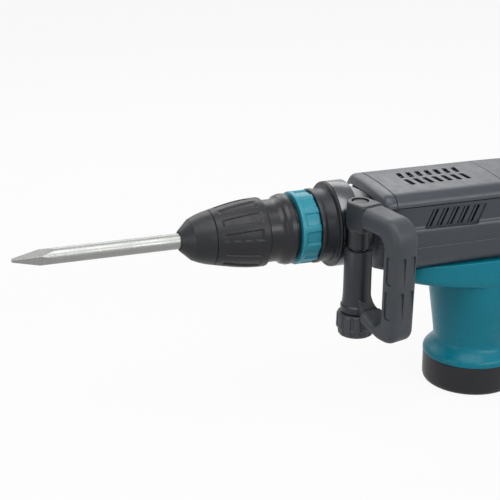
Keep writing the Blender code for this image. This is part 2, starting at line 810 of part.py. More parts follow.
def crank_pin():
    low = DISC_TOP + RUN
    path = solid_bar((low, CRANK_PIN_R), (AXIS_Z + ROD_T / 2 + 2 * MM, CRANK_PIN_R))
    turned("crank_pin", path, "bright_steel", axis="Z", at=(CRANK_PIN_X, 0), steps=SMALL)


def crank_shaft():
    disc = DISC_TOP - CRANK_DISC_T
    points = [(GEAR_Z - 2 * MM, CRANK_SHAFT_R), (disc, CRANK_SHAFT_R)]
    points += [(disc, CRANK_DISC_R), (DISC_TOP, CRANK_DISC_R)]
    turned("crank_shaft", solid_bar(*points), "dark_steel", axis="Z", at=(CRANK_X, 0), steps=INNER)


def involute(angle):
    return math.tan(angle) - angle


def gear_outline(teeth, flank_points, phase, thinned):
    """Spur gear outline with involute flanks, the first tooth centred at the phase angle."""
    pitch_r = GEAR_MODULE * teeth / 2
    base_r = pitch_r * math.cos(math.radians(20))
    tip_r = pitch_r + 0.75 * GEAR_MODULE
    root_r = pitch_r - 1.1 * GEAR_MODULE
    half_pitch = math.pi / (2 * teeth) * thinned
    start_r = max(base_r, root_r)
    radii = [start_r + (tip_r - start_r) * i / flank_points for i in range(flank_points + 1)]
    flank = [(root_r, half_pitch + involute(math.radians(20)))] if root_r < base_r else []
    for radius in radii:
        turn = half_pitch + involute(math.radians(20)) - involute(math.acos(base_r / radius))
        flank.append((radius, turn))
    points = []
    for i in range(teeth):
        middle = phase + 2 * math.pi * i / teeth
        rising = [(radius, middle - turn) for radius, turn in flank]
        falling = [(radius, middle + turn) for radius, turn in reversed(flank)]
        for radius, angle in rising + falling:
            points.append((radius * math.cos(angle), radius * math.sin(angle)))
    return points


def crank_gear():
    teeth = gear_outline(GEAR_TEETH, 1, math.pi / GEAR_TEETH, 0.86)
    bore = circle((0, 0), CRANK_SHAFT_R + GAP)
    mesh = outline_mesh("crank_gear", [teeth, bore], GEAR_FACE)
    gear = place("crank_gear", mesh, "dark_steel")
    gear.location = (CRANK_X, 0, GEAR_Z + GEAR_FACE / 2)


def bearing(name, outer_r, bore_r, low, height, at):
    outer = [(low, outer_r), (low + height, outer_r)]
    inner = [(low, bore_r), (low + height, bore_r)]
    turned(name, tube(outer, inner), "bright_steel", axis="Z", at=at, steps=INNER)


def crankcase():
    low = (CASE_FRONT_X, -CASE_W / 2, AXIS_Z + CASE_BOTTOM)
    case = box("crankcase", low, (CASE_REAR_X, CASE_W / 2, AXIS_Z + CASE_TOP), "cast_aluminium")
    rounded(case, 7 * MM)
    front = (BARREL_END_X + GAP, 0, AXIS_Z)
    boss_end = (CASE_FRONT_X + 12 * MM, 0, AXIS_Z)
    boss = cylinder("barrel_boss", BARREL_END_R + 1 * MM, front, boss_end, None, steps=ROUND)
    foot_low = (CRANK_X - CASE_FOOT_FRONT, -CASE_FOOT_W / 2, FAIRING_TOP + GAP)
    foot_high = (CASE_REAR_X - CASE_FOOT_STEP, CASE_FOOT_W / 2, AXIS_Z)
    foot = box("case_foot", foot_low, foot_high, None)
    unite(case, boss, foot)
    bore_end = (CRANK_X, 0, AXIS_Z)
    bore_start = (BARREL_END_X - REACH, 0, AXIS_Z)
    bore = cylinder("cylinder_seat", CYLINDER_R + GAP, bore_start, bore_end, None, steps=ROUND)
    floor = DISC_TOP - CRANK_DISC_T - 1 * MM
    top = AXIS_Z + CASE_TOP + REACH
    def crank_bore(name, radius, low, high, steps=INNER):
        return cylinder(name, radius, (CRANK_X, 0, low), (CRANK_X, 0, high), None, steps=steps)

    chamber = crank_bore("crank_chamber", CHAMBER_R, floor, top, ROUND)
    seat = crank_bore("bearing_seat", BEARING_R + GAP, FAIRING_TOP - REACH, BEARING_Z + BEARING_T + GAP)
    way = crank_bore("shaft_way", CRANK_SHAFT_R + 3 * MM, FAIRING_TOP, AXIS_Z)
    cut(case, bore, chamber, seat, way)


def crank_cover():
    low = AXIS_Z + CASE_TOP + GAP
    radius = CASE_W / 2 - 1 * MM
    points = [(low, radius), (low + LID_T - 1 * MM, radius), (low + LID_T, radius - 1 * MM)]
    turned("crank_cover", solid_bar(*points), "cast_aluminium", axis="Z", at=(CRANK_X, 0), steps=INNER)


# Motor


def armature():
    top = GEAR_Z + GEAR_FACE + 1 * MM
    core = GEAR_MODULE * PINION_TEETH / 2 - 1.4 * GEAR_MODULE
    low = LOW_BEARING_Z
    journal = TOP_BEARING_Z + TOP_BEARING_T + 1 * MM
    points = [(low, JOURNAL_R), (STATOR_Z, JOURNAL_R), (STATOR_Z, SHAFT_R), (journal, SHAFT_R)]
    points += [(journal, core), (top - 1 * MM, core)]
    shaft = turned("armature_shaft", solid_bar(*points), "dark_steel", axis="Z", steps=INNER)
    teeth = gear_outline(PINION_TEETH, 1, 0, 0.86)
    mesh = outline_mesh("pinion", [teeth], top - GEAR_Z, offset=(0, 0, (top + GEAR_Z) / 2))
    unite(shaft, place("pinion", mesh, None))
    core_z = STATOR_Z + (STATOR_LEN - CORE_LEN) / 2
    bore = SHAFT_R + GAP
    outer = [(core_z, CORE_R), (core_z + CORE_LEN, CORE_R)]
    inner = [(core_z, bore), (core_z + CORE_LEN, bore)]
    turned("armature_core", tube(outer, inner), "laminated_steel", axis="Z", steps=INNER)
    end = COMMUTATOR_Z + COMMUTATOR_LEN
    bore = JOURNAL_R + GAP
    outer = [(COMMUTATOR_Z, COMMUTATOR_R), (end, COMMUTATOR_R)]
    turned("commutator", tube(outer, [(COMMUTATOR_Z, bore), (end, bore)]), "copper", axis="Z", steps=INNER)


def cooling_fan():
    hub = SHAFT_R + 5 * MM
    plate = FAN_Z + FAN_H - 2.4 * MM
    outer = [(FAN_Z, hub), (plate, hub), (plate, FAN_R), (FAN_Z + FAN_H, FAN_R)]
    inner = [(FAN_Z, SHAFT_R + GAP), (FAN_Z + FAN_H, SHAFT_R + GAP)]
    fan = turned("cooling_fan", tube(outer, inner), "black_plastic", axis="Z", steps=INNER)
    bm = bmesh.new()
    for i in range(FAN_BLADES):
        turn = Matrix.Rotation(2 * math.pi * i / FAN_BLADES, 4, "Z")
        add_box(bm, (hub + 4 * MM, -1 * MM, FAN_Z + 1 * MM), (FAN_R - 1 * MM, 1 * MM, plate + 1 * MM), turn)
    unite(fan, place("fan_blades", bmesh_mesh("fan_blades", bm), None))


def stator():
    outer = [(STATOR_Z, STATOR_R), (STATOR_Z + STATOR_LEN, STATOR_R)]
    bore = CORE_R + AIR_GAP
    inner = [(STATOR_Z, bore), (STATOR_Z + STATOR_LEN, bore)]
    turned("stator", tube(outer, inner), "laminated_steel", axis="Z", steps=INNER)


def brackets():
    low = TOP_BEARING_Z - 2.4 * MM
    high = TOP_BEARING_Z + TOP_BEARING_T + 3 * MM
    rim = MOTOR_BORE_R - GAP
    seat = TOP_BEARING_R + GAP
    outer = [(low, seat + 3 * MM), (high - 5 * MM, seat + 3 * MM), (high - 5 * MM, rim), (high, rim)]
    ledge = TOP_BEARING_Z - GAP
    inner = [(low, SHAFT_R + 2 * MM), (ledge, SHAFT_R + 2 * MM), (ledge, seat), (high, seat)]
    turned("bearing_bracket", tube(outer, inner), "cast_aluminium", axis="Z")
    seat = LOW_BEARING_R + GAP
    plate = FOOT_SEAM - 6 * MM
    rim = FOOT_R - FOOT_WALL - 3 * MM
    outer = [(LOW_BEARING_Z, seat + 3.5 * MM), (plate, seat + 3.5 * MM), (plate, rim), (plate + 4 * MM, rim)]
    top = LOW_BEARING_Z + LOW_BEARING_T + GAP
    way = JOURNAL_R + 1 * MM
    inner = [(LOW_BEARING_Z, seat), (top, seat), (top, way), (plate + 4 * MM, way)]
    turned("end_bracket", tube(outer, inner), "black_plastic", axis="Z", steps=INNER)


def brush_gear():
    middle = COMMUTATOR_Z + COMMUTATOR_LEN / 2
    low = FOOT_SEAM - 2 * MM + GAP
    half = BRUSH_W / 2
    for side, word in ((-1, "left"), (1, "right")):
        near = COMMUTATOR_R + GAP
        far = near + BRUSH_LEN
        ends = sorted((side * near, side * far))
        box("carbon_brush_" + word, (-half, ends[0], middle - half), (half, ends[1], middle + half), "carbon")
        ends = sorted((side * (near + 3 * MM), side * (MOTOR_BORE_R - 2 * MM)))
        wall = half + 3 * MM
        low_corner = (-wall, ends[0], low)
        holder = box("brush_holder_" + word, low_corner, (wall, ends[1], middle + wall), "copper")
        way = half + GAP
        cut(holder, box("brush_way_" + word, (-way, -REACH, middle - way), (way, REACH, middle + way), None))


COLUMN = (
    (0, 1.008),
    (0.033, 1.008),
    (0.077, 0.963),
    (0.121, 0.884),
    (0.165, 0.82),
    (0.208, 0.804),
    (0.472, 0.878),
    (0.736, 0.969),
    (1, 0.98),
)


def column_path(grow=0.0):
    """Outer side of the motor column, from the flared foot up its waist into the fairing.
    COLUMN holds shares of the column's height and of the foot's radius."""
    low = FOOT_SEAM + GAP
    return [(low + COLUMN_H * share, FOOT_R * wide + grow) for share, wide in COLUMN]


FAIRING = (
    (0, 0.407, 0.337, 0.509),
    (0.047, 0.678, 0.165, 0.545),
    (0.104, 0.83, 0, 0.582),
    (0.295, 0.958, 0, 0.73),
    (0.606, 1, 0, 0.926),
    (0.845, 0.966, 0, 1),
    (0.948, 0.78, 0, 0.988),
    (1, 0.593, 0, 0.95),
)


def fairing_ring(along, wide, top, bottom):
    """Section of the fairing with rounded lower edges. FAIRING holds shares of its length, half width
    and depth."""
    x = FAIRING_FRONT_X + (FAIRING_REAR_X - FAIRING_FRONT_X) * along
    half = FAIRING_HALF_W * wide
    high = FAIRING_TOP - FAIRING_DEPTH * top
    low = FAIRING_TOP - FAIRING_DEPTH * bottom
    edge = 0.15 * FAIRING_HALF_W
    side = low + min(edge, 0.7 * (high - low))
    bend = low + 0.3 * (side - low)
    points = [(-half, side), (-half, high), (half, high), (half, side)]
    points += [(half - edge / 3, bend), (half - edge, low), (edge - half, low), (edge / 3 - half, bend)]
    return [(x, y, z) for y, z in points]


def motor_housing():
    column = turned("motor_housing", solid_bar(*column_path()), "teal_plastic", axis="Z")
    fairing = loft_mesh("fairing", [fairing_ring(*row) for row in FAIRING])
    unite(column, place("fairing", fairing, None))
    high = (0, 0, FAIRING_TOP + REACH)
    bore = cylinder("motor_bore", MOTOR_BORE_R, (0, 0, -REACH), high, None, steps=ROUND)
    gear_r = GEAR_MODULE * GEAR_TEETH / 2 + PIT_CLEAR
    loop = arc((CRANK_X, 0), gear_r, 90, 270, ROUND // 2) + [(0, -gear_r), (0, gear_r)]
    pit = outline_mesh("gear_pit", [loop], 2 * REACH, offset=(0, 0, GEAR_Z - PIT_CLEAR + REACH))
    cut(column, bore, place("gear_pit", pit, None))
    smooth(column)


def foot_cap():
    inner = FOOT_R - FOOT_WALL
    floor = 4 * MM
    path = [(floor, 0), (floor, inner - 3 * MM), (floor + 3 * MM, inner)]
    path += [(FOOT_SEAM, inner), (FOOT_SEAM, FOOT_R)]
    edge = FOOT_R - FOOT_FLAT_R
    path += [(9 * MM, FOOT_R - 0.4 * MM), (4 * MM, FOOT_R - 0.17 * edge), (1 * MM, FOOT_R - 0.58 * edge)]
    path += [(0, FOOT_FLAT_R), (0, 0)]
    smooth(turned("foot_cap", path, "black_plastic", axis="Z"))


# Upper covers


HOOD_SECTION = ((0, 1), (0.417, 0.984), (0.75, 0.944), (0.85, 0.88), (0.91, 0.787), (0.94, 0.651))
SIDE_SECTION = (
    (0.937, 0.622),
    (0.957, 0.089),
    (0.977, -0.021),
    (1, -0.136),
    (0.99, -0.272),
    (0.96, -0.418),
    (0.91, -0.93),
    (0.88, -1),
    (0.333, -1),
)


def section(shares):
    """Points of the covers' section: shares of the half width, and of the height or depth from the axis."""
    return [(u * COVER_HALF_W, v * (HOOD_TOP if v > 0 else COVER_DEPTH)) for u, v in shares]


def section_ring(x, points, wide=1.0, tall=1.0):
    return [(x, y * wide, AXIS_Z + z * tall) for y, z in points]


def mirrored(points):
    return [(-y, z) for y, z in reversed(points)]


def top_cover():
    half = section(HOOD_SECTION)
    points = mirrored(half[1:]) + half
    low = points[0][1]
    rings = []
    for along, drop, wide in ((0, 1, 0.955), (0.12, 0.36, 0.965), (0.42, 0.08, 0.98), (1, 0, 1)):
        lip = [(y, max(z - HOOD_FACE * drop, low - 2 * GAP * drop)) for y, z in points]
        rings.append(section_ring(HOOD_FRONT_X + HOOD_ROUND * along, lip, wide))
    rings.append(section_ring(SEAM_X - GAP, points))
    skin = loft_mesh("top_cover", rings, (False, False), closed=False)
    hood = place("top_cover", skin, "charcoal_plastic")
    walled(hood, WALL)
    bm = bmesh.new()
    for i in range(TOP_VENTS):
        x = SEAM_X - TOP_VENT_SETBACK + TOP_VENT_PITCH * i
        for side in (-1, 1):
            ends = sorted((side * TOP_VENT_INSET, side * (TOP_VENT_INSET + TOP_VENT_LEN)))
            low = (x, ends[0], AXIS_Z + CASE_TOP)
            add_box(bm, low, (x + TOP_VENT_W, ends[1], AXIS_Z + REACH))
    cut(hood, place("top_vents", bmesh_mesh("top_vents", bm), None))
    smooth(hood)


def nose_ring(x, points, radius):
    """Section drawn in to a circle round the barrel."""
    ring = []
    for y, z in points:
        angle = math.atan2(z, y)
        ring.append((x, radius * math.cos(angle), AXIS_Z + radius * math.sin(angle)))
    return ring


def side_cover(name, side):
    half = section(SIDE_SECTION) + [(GAP, -COVER_DEPTH)]
    points = half if side > 0 else mirrored(half)
    rings = [nose_ring(COVER_FRONT_X, points, BARREL_END_R + COVER_NOSE_GAP)]
    for along, wide in ((0.04, 0.64), (0.16, 0.81), (0.42, 0.94), (1, 1)):
        rings.append(section_ring(COVER_FRONT_X + COVER_NOSE * along, points, wide))
    rings.append(section_ring(SEAM_X - GAP, points))
    top = AXIS_Z + half[0][1]
    rings = [[(x, y, min(z, top)) for x, y, z in ring] for ring in rings]
    cover = place(name, loft_mesh(name, rings, (False, False), closed=False), "charcoal_plastic")
    walled(cover, WALL)
    cut(cover, side_vents(name + "_vents", side), case_way(name + "_way"))
    smooth(cover)


def side_vents(name, side):
    bm = bmesh.new()
    low = AXIS_Z + SIDE_VENT_RISE
    shear = Matrix.Shear("XY", 4, (0, 0))
    shear[0][2] = SIDE_VENT_LEAN / SIDE_VENT_H
    for i in range(SIDE_VENTS):
        ends = sorted((side * 0.75 * COVER_HALF_W, side * 1.4 * COVER_HALF_W))
        stand = Matrix.Translation((SEAM_X - SIDE_VENT_SETBACK + SIDE_VENT_PITCH * i, 0, low)) @ shear
        add_box(bm, (0, ends[0], 0), (SIDE_VENT_W, ends[1], SIDE_VENT_H), stand)
    return place(name, bmesh_mesh(name, bm), None)


def case_way(name):
    """Opening in the covers' floor for the crankcase's foot."""
    side = CASE_FOOT_W / 2 + WAY_CLEAR
    low = (CRANK_X - CASE_FOOT_FRONT - WAY_CLEAR, -side, FAIRING_TOP - REACH)
    high = (CASE_REAR_X + WAY_CLEAR, side, AXIS_Z + CASE_BOTTOM)
    return box(name, low, high, None)


def rear_cover():
    right = section(HOOD_SECTION) + section(SIDE_SECTION) + [(0, -COVER_DEPTH)]
    points = mirrored(right[1:-1]) + right
    rings = []
    for share, wide, tall in ((0, 1, 1), (0.55, 1, 0.985), (0.85, 0.9, 0.92), (1, 0.7, 0.78)):
        rings.append(section_ring(SEAM_X + GAP + REAR_COVER_LEN * share, points, wide, tall))
    cover = place("rear_cover", loft_mesh("rear_cover", rings, (False, True)), "charcoal_plastic")
    walled(cover, WALL)
    slot = RUN + DIAL_T / 2
    reach = DIAL_R + RUN
    low = (DIAL_X - reach, DIAL_Y - REACH, DIAL_Z - slot)
    dial_slot = box("dial_slot", low, (DIAL_X + reach, DIAL_Y + reach, DIAL_Z + slot), None)
    cut(cover, case_way("rear_way"), dial_slot)
    lamp_holes(cover)
    smooth(cover)


LAMPS = (("power_lamp", "green_lens"), ("service_lamp", "red_lens"))


def lamp_ends(index, proud):
    """Outer and inner end of a lamp on the left of the rear cover."""
    x = SEAM_X + LAMP_PITCH * (index + 1.6)
    outer = -0.957 * COVER_HALF_W - proud
    return (x, outer, DIAL_Z), (x, outer + LAMP_LEN, DIAL_Z)


def lamp_holes(cover):
    for index, (name, _) in enumerate(LAMPS):
        outer, inner = lamp_ends(index, LAMP_LEN)
        inner = (inner[0], inner[1] + LAMP_LEN, inner[2])
        cut(cover, cylinder(name + "_hole", LAMP_R + GAP, outer, inner, None))


def lamps():
    for index, (name, look) in enumerate(LAMPS):
        rounded(cylinder(name, LAMP_R, *lamp_ends(index, 1.5 * MM), look), 0.8 * MM)


def speed_dial():
    low = DIAL_Z - DIAL_T / 2
    high = DIAL_Z + DIAL_T / 2
    points = [(low, DIAL_R - 1 * MM), (low + 1 * MM, DIAL_R)]
    points += [(high - 1 * MM, DIAL_R), (high, DIAL_R - 1 * MM)]
    turned("speed_dial", solid_bar(*points), "black_plastic", axis="Z", at=(DIAL_X, DIAL_Y), steps=INNER)


def speed_controller():
    top = AXIS_Z + CONTROL_RISE + DIAL_T
    low = (CASE_REAR_X + 4 * MM, -CONTROL_W / 2, top - CONTROL_H)
    box("speed_controller", low, (DIAL_X + 2 * GAP, CONTROL_W / 2, top), "black_plastic")


# Side handle


def clamp_band():
    inner = SEAT_R + BAND_RUN
    outer = inner + BAND_T
    tip = BOLT_Y - BOLT_R - 5 * MM
    slit_top = SPLIT_Z + GAP
    slit_bottom = SPLIT_Z - GAP

    def below(radius, z):
        return 180 + math.degrees(math.asin(-z / radius))

    loop = [(tip, EAR_TOP), (tip, slit_top)]
    loop += arc((0, 0), inner, below(inner, slit_top), -360 + below(inner, slit_bottom), ROUND)
    loop += [(tip, slit_bottom), (tip, EAR_BOTTOM)]
    loop += arc((0, 0), outer, -360 + below(outer, EAR_BOTTOM), below(outer, EAR_TOP), ROUND)
    mesh = outline_mesh("clamp_band", [loop], BAND_W, "YZ", (BOLT_X, 0, AXIS_Z))
    band = place("clamp_band", mesh, "bright_steel")
    moved_to(band, (0, 0, AXIS_Z))
    low = (BOLT_X, BOLT_Y, AXIS_Z - REACH)
    cut(band, cylinder("ear_holes", BOLT_R + RUN, low, (BOLT_X, BOLT_Y, AXIS_Z + REACH), None))


def handle_pivot():
    """Empty on the clamp bolt. Its own X points along the handle's arms, out to the grip."""
    pivot = bpy.data.objects.new("side_handle_pivot", None)
    PIECES.objects.link(pivot)
    pivot.location = (BOLT_X, BOLT_Y, AXIS_Z)
    pivot.rotation_euler = (0, 0, math.radians(HANDLE_SWING - 90))
    return pivot


def handle_loop(inset, start):
    """Outline of the open D in the pivot's XZ plane, drawn in on all sides by the inset."""
    outer = HANDLE_REACH - inset
    inner = HANDLE_REACH - GRIP_T + inset
    top = HANDLE_TOP - inset
    top_in = HANDLE_TOP - HANDLE_ARM + inset
    bottom = HANDLE_BOTTOM + inset
    bottom_in = HANDLE_BOTTOM + HANDLE_LOW_ARM - inset
    wide = 26 * MM - inset
    tight = 14 * MM - inset
    fillet = 12 * MM + inset
    slope = (BAR_BOTTOM - HANDLE_BOTTOM) / (HANDLE_REACH - GRIP_T)
    knee = HANDLE_REACH - GRIP_T
    bend = HANDLE_REACH - 26 * MM
    loop = [(start, top + HANDLE_RISE * (bend - start) / bend)]
    loop += arc((outer - wide, top - wide), wide, 90, 0, 5)
    loop += arc((outer - GRIP_TAPER - tight, bottom + tight), tight, 0, -90, 3)
    low_start = start + KNOB_CLEAR
    rise = slope * (knee - low_start)
    loop += [(knee, bottom), (low_start, bottom + rise), (low_start, bottom_in + rise)]
    loop += arc((inner - fillet, bottom_in + fillet), fillet, -90, 0, 4)
    loop += arc((inner - fillet, top_in - fillet), fillet, 0, 90, 4)
    loop.append((start, top_in))
    return loop


def side_handle(pivot):
    block_top = HANDLE_TOP + HANDLE_RISE
    block_low = block_top - BLOCK_H
    stadium = arc((0, 0), BLOCK_W / 2, 90, 270, 10)
    stadium += [(GRIP_START - GAP, -BLOCK_W / 2), (GRIP_START - GAP, BLOCK_W / 2)]
    mesh = outline_mesh("side_handle_frame", [stadium], BLOCK_H, offset=(0, 0, block_low + BLOCK_H / 2))
    frame = place("side_handle_frame", mesh, "black_plastic", pivot)
    rounded(frame, 2 * MM)
    spine = outline_mesh("spine", [handle_loop(SPINE_INSET, 0)], SPINE_W, "XZ")
    low = HANDLE_BOTTOM - REACH
    high = HANDLE_TOP + REACH

    def round_bar(name, radius, start, end, steps=SMALL):
        return cylinder(name, radius, (0, 0, start), (0, 0, end), None, steps=steps, parent=pivot)

    boss = round_bar("boss", BOSS_R, EAR_TOP + GAP, HANDLE_TOP, INNER)
    bar = round_bar("lower_bar", BAR_R, BAR_BOTTOM, EAR_BOTTOM - GAP, ROUND)
    unite(frame, boss, bar, place("spine", spine, None, pivot))
    head = block_top - BOLT_HEAD_T - 1 * MM - GAP
    hole = round_bar("bolt_hole", BOLT_R + GAP, low, high)
    recess = round_bar("head_recess", BOLT_HEAD_R + 1.5 * MM, head, high)
    cut(frame, hole, recess)

    mesh = outline_mesh("side_handle_grip", [handle_loop(0, GRIP_START)], GRIP_W, "XZ")
    grip = place("side_handle_grip", mesh, "soft_rubber", pivot)
    rim_rounded(grip, 8 * MM)
    way_loop = handle_loop(SPINE_INSET - GAP, GRIP_START / 2)
    way = outline_mesh("spine_way", [way_loop], SPINE_W + 2 * GAP, "XZ")
    clear = round_bar("bar_way", BAR_R + GAP, low, high, ROUND)
    cut(grip, place("spine_way", way, None, pivot), clear)


def clamp_bolt(pivot):
    head = HANDLE_TOP + HANDLE_RISE - BOLT_HEAD_T - 1 * MM
    end = BAR_BOTTOM - KNOB_H + 4 * MM
    path = solid_bar((end, BOLT_R), (head + 1 * MM, BOLT_R))
    bolt = turned("clamp_bolt", path, "bright_steel", axis="Z", steps=SMALL, parent=pivot)
    hexagon = arc((0, 0), BOLT_HEAD_R, 0, 300, 5)
    mesh = outline_mesh("bolt_head", [hexagon], BOLT_HEAD_T, offset=(0, 0, head + BOLT_HEAD_T / 2))
    unite(bolt, place("bolt_head", mesh, None, pivot))


def clamp_knob(pivot):
    top = BAR_BOTTOM - 1 * MM
    points = []
    count = KNOB_FLUTES * 4
    for i in range(count):
        angle = 2 * math.pi * i / count
        radius = KNOB_R - KNOB_FLUTE_DEPTH * (0.5 - 0.5 * math.cos(KNOB_FLUTES * angle))
        points.append((radius * math.cos(angle), radius * math.sin(angle)))
    mesh = outline_mesh("clamp_knob", [points], KNOB_H, offset=(0, 0, top - KNOB_H / 2))
    knob = place("clamp_knob", mesh, "black_plastic", pivot)
    rounded(knob, 2.5 * MM)
    end = BAR_BOTTOM - KNOB_H + 4 * MM
    hole = cylinder("nut_hole", BOLT_R + RUN, (0, 0, end - GAP), (0, 0, top + REACH), None, parent=pivot)
    cut(knob, hole)


# Rear handle


def rear_outline():
    """Outline of the rear handle in the XZ plane: upper arm, grip and lower arm."""
    front = REAR_COVER_END_X + 2 * GAP
    low_x = REAR_X - REAR_LEAN
    arm_top = REAR_LOW_Z + LOWER_ARM_T
    grip = REAR_X - REAR_GRIP_D - REAR_INNER_R
    arm_low = UPPER_ARM_Z - UPPER_ARM_H
    loop = [(front, UPPER_ARM_Z)]
    loop += arc((REAR_X - REAR_TOP_R, UPPER_ARM_Z - REAR_TOP_R), REAR_TOP_R, 90, 0, 6)
    loop += arc((low_x - REAR_LOW_R, REAR_LOW_Z + REAR_LOW_R), REAR_LOW_R, 0, -90, 5)
    loop += [(LOWER_ARM_X, REAR_LOW_Z - LOWER_ARM_DROP), (LOWER_ARM_X, arm_top - LOWER_ARM_DROP)]
    loop += arc((grip - REAR_LEAN, arm_top + REAR_INNER_R), REAR_INNER_R, -90, 0, 4)
    loop += arc((grip, arm_low - REAR_INNER_R), REAR_INNER_R, 0, 90, 4)
    loop.append((front, UPPER_ARM_Z - UPPER_ARM_FRONT))
    return loop


def rear_body(name, look, low, high):
    """The whole rear handle, kept between two values of Y."""
    obj = place(name, outline_mesh(name, [rear_outline()], REAR_W, "XZ"), look)
    rim_rounded(obj, REAR_EDGE)
    if (low, high) != (-REAR_W, REAR_W):
        keep = box(name + "_half", (-1, low, -1), (1, high, 1), None)
        join(obj, keep, "INTERSECT")
    return obj


def pad_zone(name, grow):
    """Zone of the soft pad along the back of the grip."""
    upper = REAR_X - REAR_GRIP_T - grow
    loop = [(upper, PAD_TOP + grow), (REAR_X + REACH, PAD_TOP + grow), (REAR_X + REACH, PAD_BOTTOM - grow)]
    loop.append((upper - REAR_LEAN, PAD_BOTTOM - grow))
    return place(name, outline_mesh(name, [loop], 2 * REAR_W, "XZ"), None)


def rear_handle():
    half_w = TRIGGER_W / 2 + 2 * GAP
    pocket_low = (TRIGGER_X - REACH / 2, -half_w, TRIGGER_Z - TRIGGER_LEN - 4 * MM)
    pocket_high = (SWITCH_X + SWITCH_D + 2 * GAP, half_w, TRIGGER_Z + TRIGGER_D / 3)
    saddle = column_path(2 * GAP)
    inlet_low = (INLET_X, 0, INLET_Z - REACH)
    inlet_high = (INLET_X, 0, INLET_Z + INLET_LEN + GAP)
    for name, ends in (("rear_handle_left", (-REAR_W, -GAP / 2)), ("rear_handle_right", (GAP / 2, REAR_W))):
        half = rear_body(name, "charcoal_plastic", *ends)
        cut(
            half,
            box(name + "_pocket", pocket_low, pocket_high, None),
            turned(name + "_saddle", solid_bar(*saddle), None, axis="Z"),
            cylinder(name + "_inlet", INLET_R + GAP, inlet_low, inlet_high, None),
            pad_zone(name + "_pad", GAP),
        )
        if name.endswith("left"):
            inner = BUTTON_Y + BUTTON_LEN + BUTTON_TRAVEL + 1 * MM
            outer = (BUTTON_X, BUTTON_Y - REACH, BUTTON_Z)
            cut(half, cylinder("button_hole", BUTTON_R + RUN, outer, (BUTTON_X, inner, BUTTON_Z), None))
    pad = rear_body("rear_grip", "soft_rubber", -REAR_W, REAR_W)
    join(pad, pad_zone("pad_keep", 0), "INTERSECT")


TRIGGER = (
    (-0.35, 0.1),
    (0.2, 0.1),
    (0.3, -0.19),
    (0.15, -0.95),
    (-0.45, -1),
    (-0.8, -0.81),
    (-0.75, -0.43),
    (-0.5, -0.19),
)


def switch_trigger():
    """TRIGGER holds shares of the trigger's depth and length, from its pivot."""
    loop = [(u * TRIGGER_D, v * TRIGGER_LEN) for u, v in TRIGGER]
    mesh = outline_mesh("switch_trigger", [loop], TRIGGER_W, "XZ")
    trigger = place("switch_trigger", mesh, "black_plastic")
    trigger.location = (TRIGGER_X, 0, TRIGGER_Z)
    rounded(trigger, 1.6 * MM)


def switch_body():
    half = TRIGGER_W / 2
    top = TRIGGER_Z - 2 * MM
    box("switch_body", (SWITCH_X, -half, top - SWITCH_H), (SWITCH_X + SWITCH_D, half, top), "black_plastic")


def lock_button():
    outer = (BUTTON_X, BUTTON_Y, BUTTON_Z)
    inner = (BUTTON_X, BUTTON_Y + BUTTON_LEN, BUTTON_Z)
    rounded(cylinder("lock_button", BUTTON_R, outer, inner, "black_plastic"), 0.8 * MM)


def cord_inlet():
    high = INLET_Z + INLET_LEN
    outer = [(INLET_Z, INLET_R), (high, INLET_R)]
    inner = [(INLET_Z, INLET_BORE_R), (high, INLET_BORE_R)]
    turned("cord_inlet", tube(outer, inner), "soft_rubber", axis="Z", at=(INLET_X, 0), steps=INNER)


def build():
    bull_point()
    nose_cap()
    release_cover()
    lock_ring()
    lock_rollers()
    retainer_spring()
    tool_holder()
    guide_sleeve()
    change_ring()
    barrel()
    impact_bolt()
    striker()
    cylinder_tube()
    piston()
    piston_pin()
    connecting_rod()
    crank_pin()
    crank_shaft()
    crank_gear()
    bearing("crank_bearing", BEARING_R, CRANK_SHAFT_R + GAP, BEARING_Z, BEARING_T, (CRANK_X, 0))
    crankcase()
    crank_cover()
    armature()
    cooling_fan()
    stator()
    bearing("upper_bearing", TOP_BEARING_R, SHAFT_R + GAP, TOP_BEARING_Z, TOP_BEARING_T, (0, 0))
    bearing("lower_bearing", LOW_BEARING_R, JOURNAL_R + GAP, LOW_BEARING_Z, LOW_BEARING_T, (0, 0))
    brackets()
    brush_gear()
    motor_housing()
    foot_cap()
    top_cover()
    side_cover("side_cover_left", -1)
    side_cover("side_cover_right", 1)
    rear_cover()
    lamps()
    speed_dial()
    speed_controller()
    clamp_band()
    pivot = handle_pivot()
    side_handle(pivot)
    clamp_bolt(pivot)
    clamp_knob(pivot)
    rear_handle()
    switch_trigger()
    switch_body()
    lock_button()
    cord_inlet()


build()
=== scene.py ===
"""Looks of the electric demolition hammer.

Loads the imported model, dresses it with fine meshes and finishes, and sets the floor, light and camera.
Pieces are drawn in millimetres in the model's own frame and brought to metres when they are finished.
The tool axis runs along X, the bit points to -X, the motor stands on the Z axis, and -Y is the left side.
"""

import json
import math

import bmesh
import bpy
from mathutils import Matrix, Vector


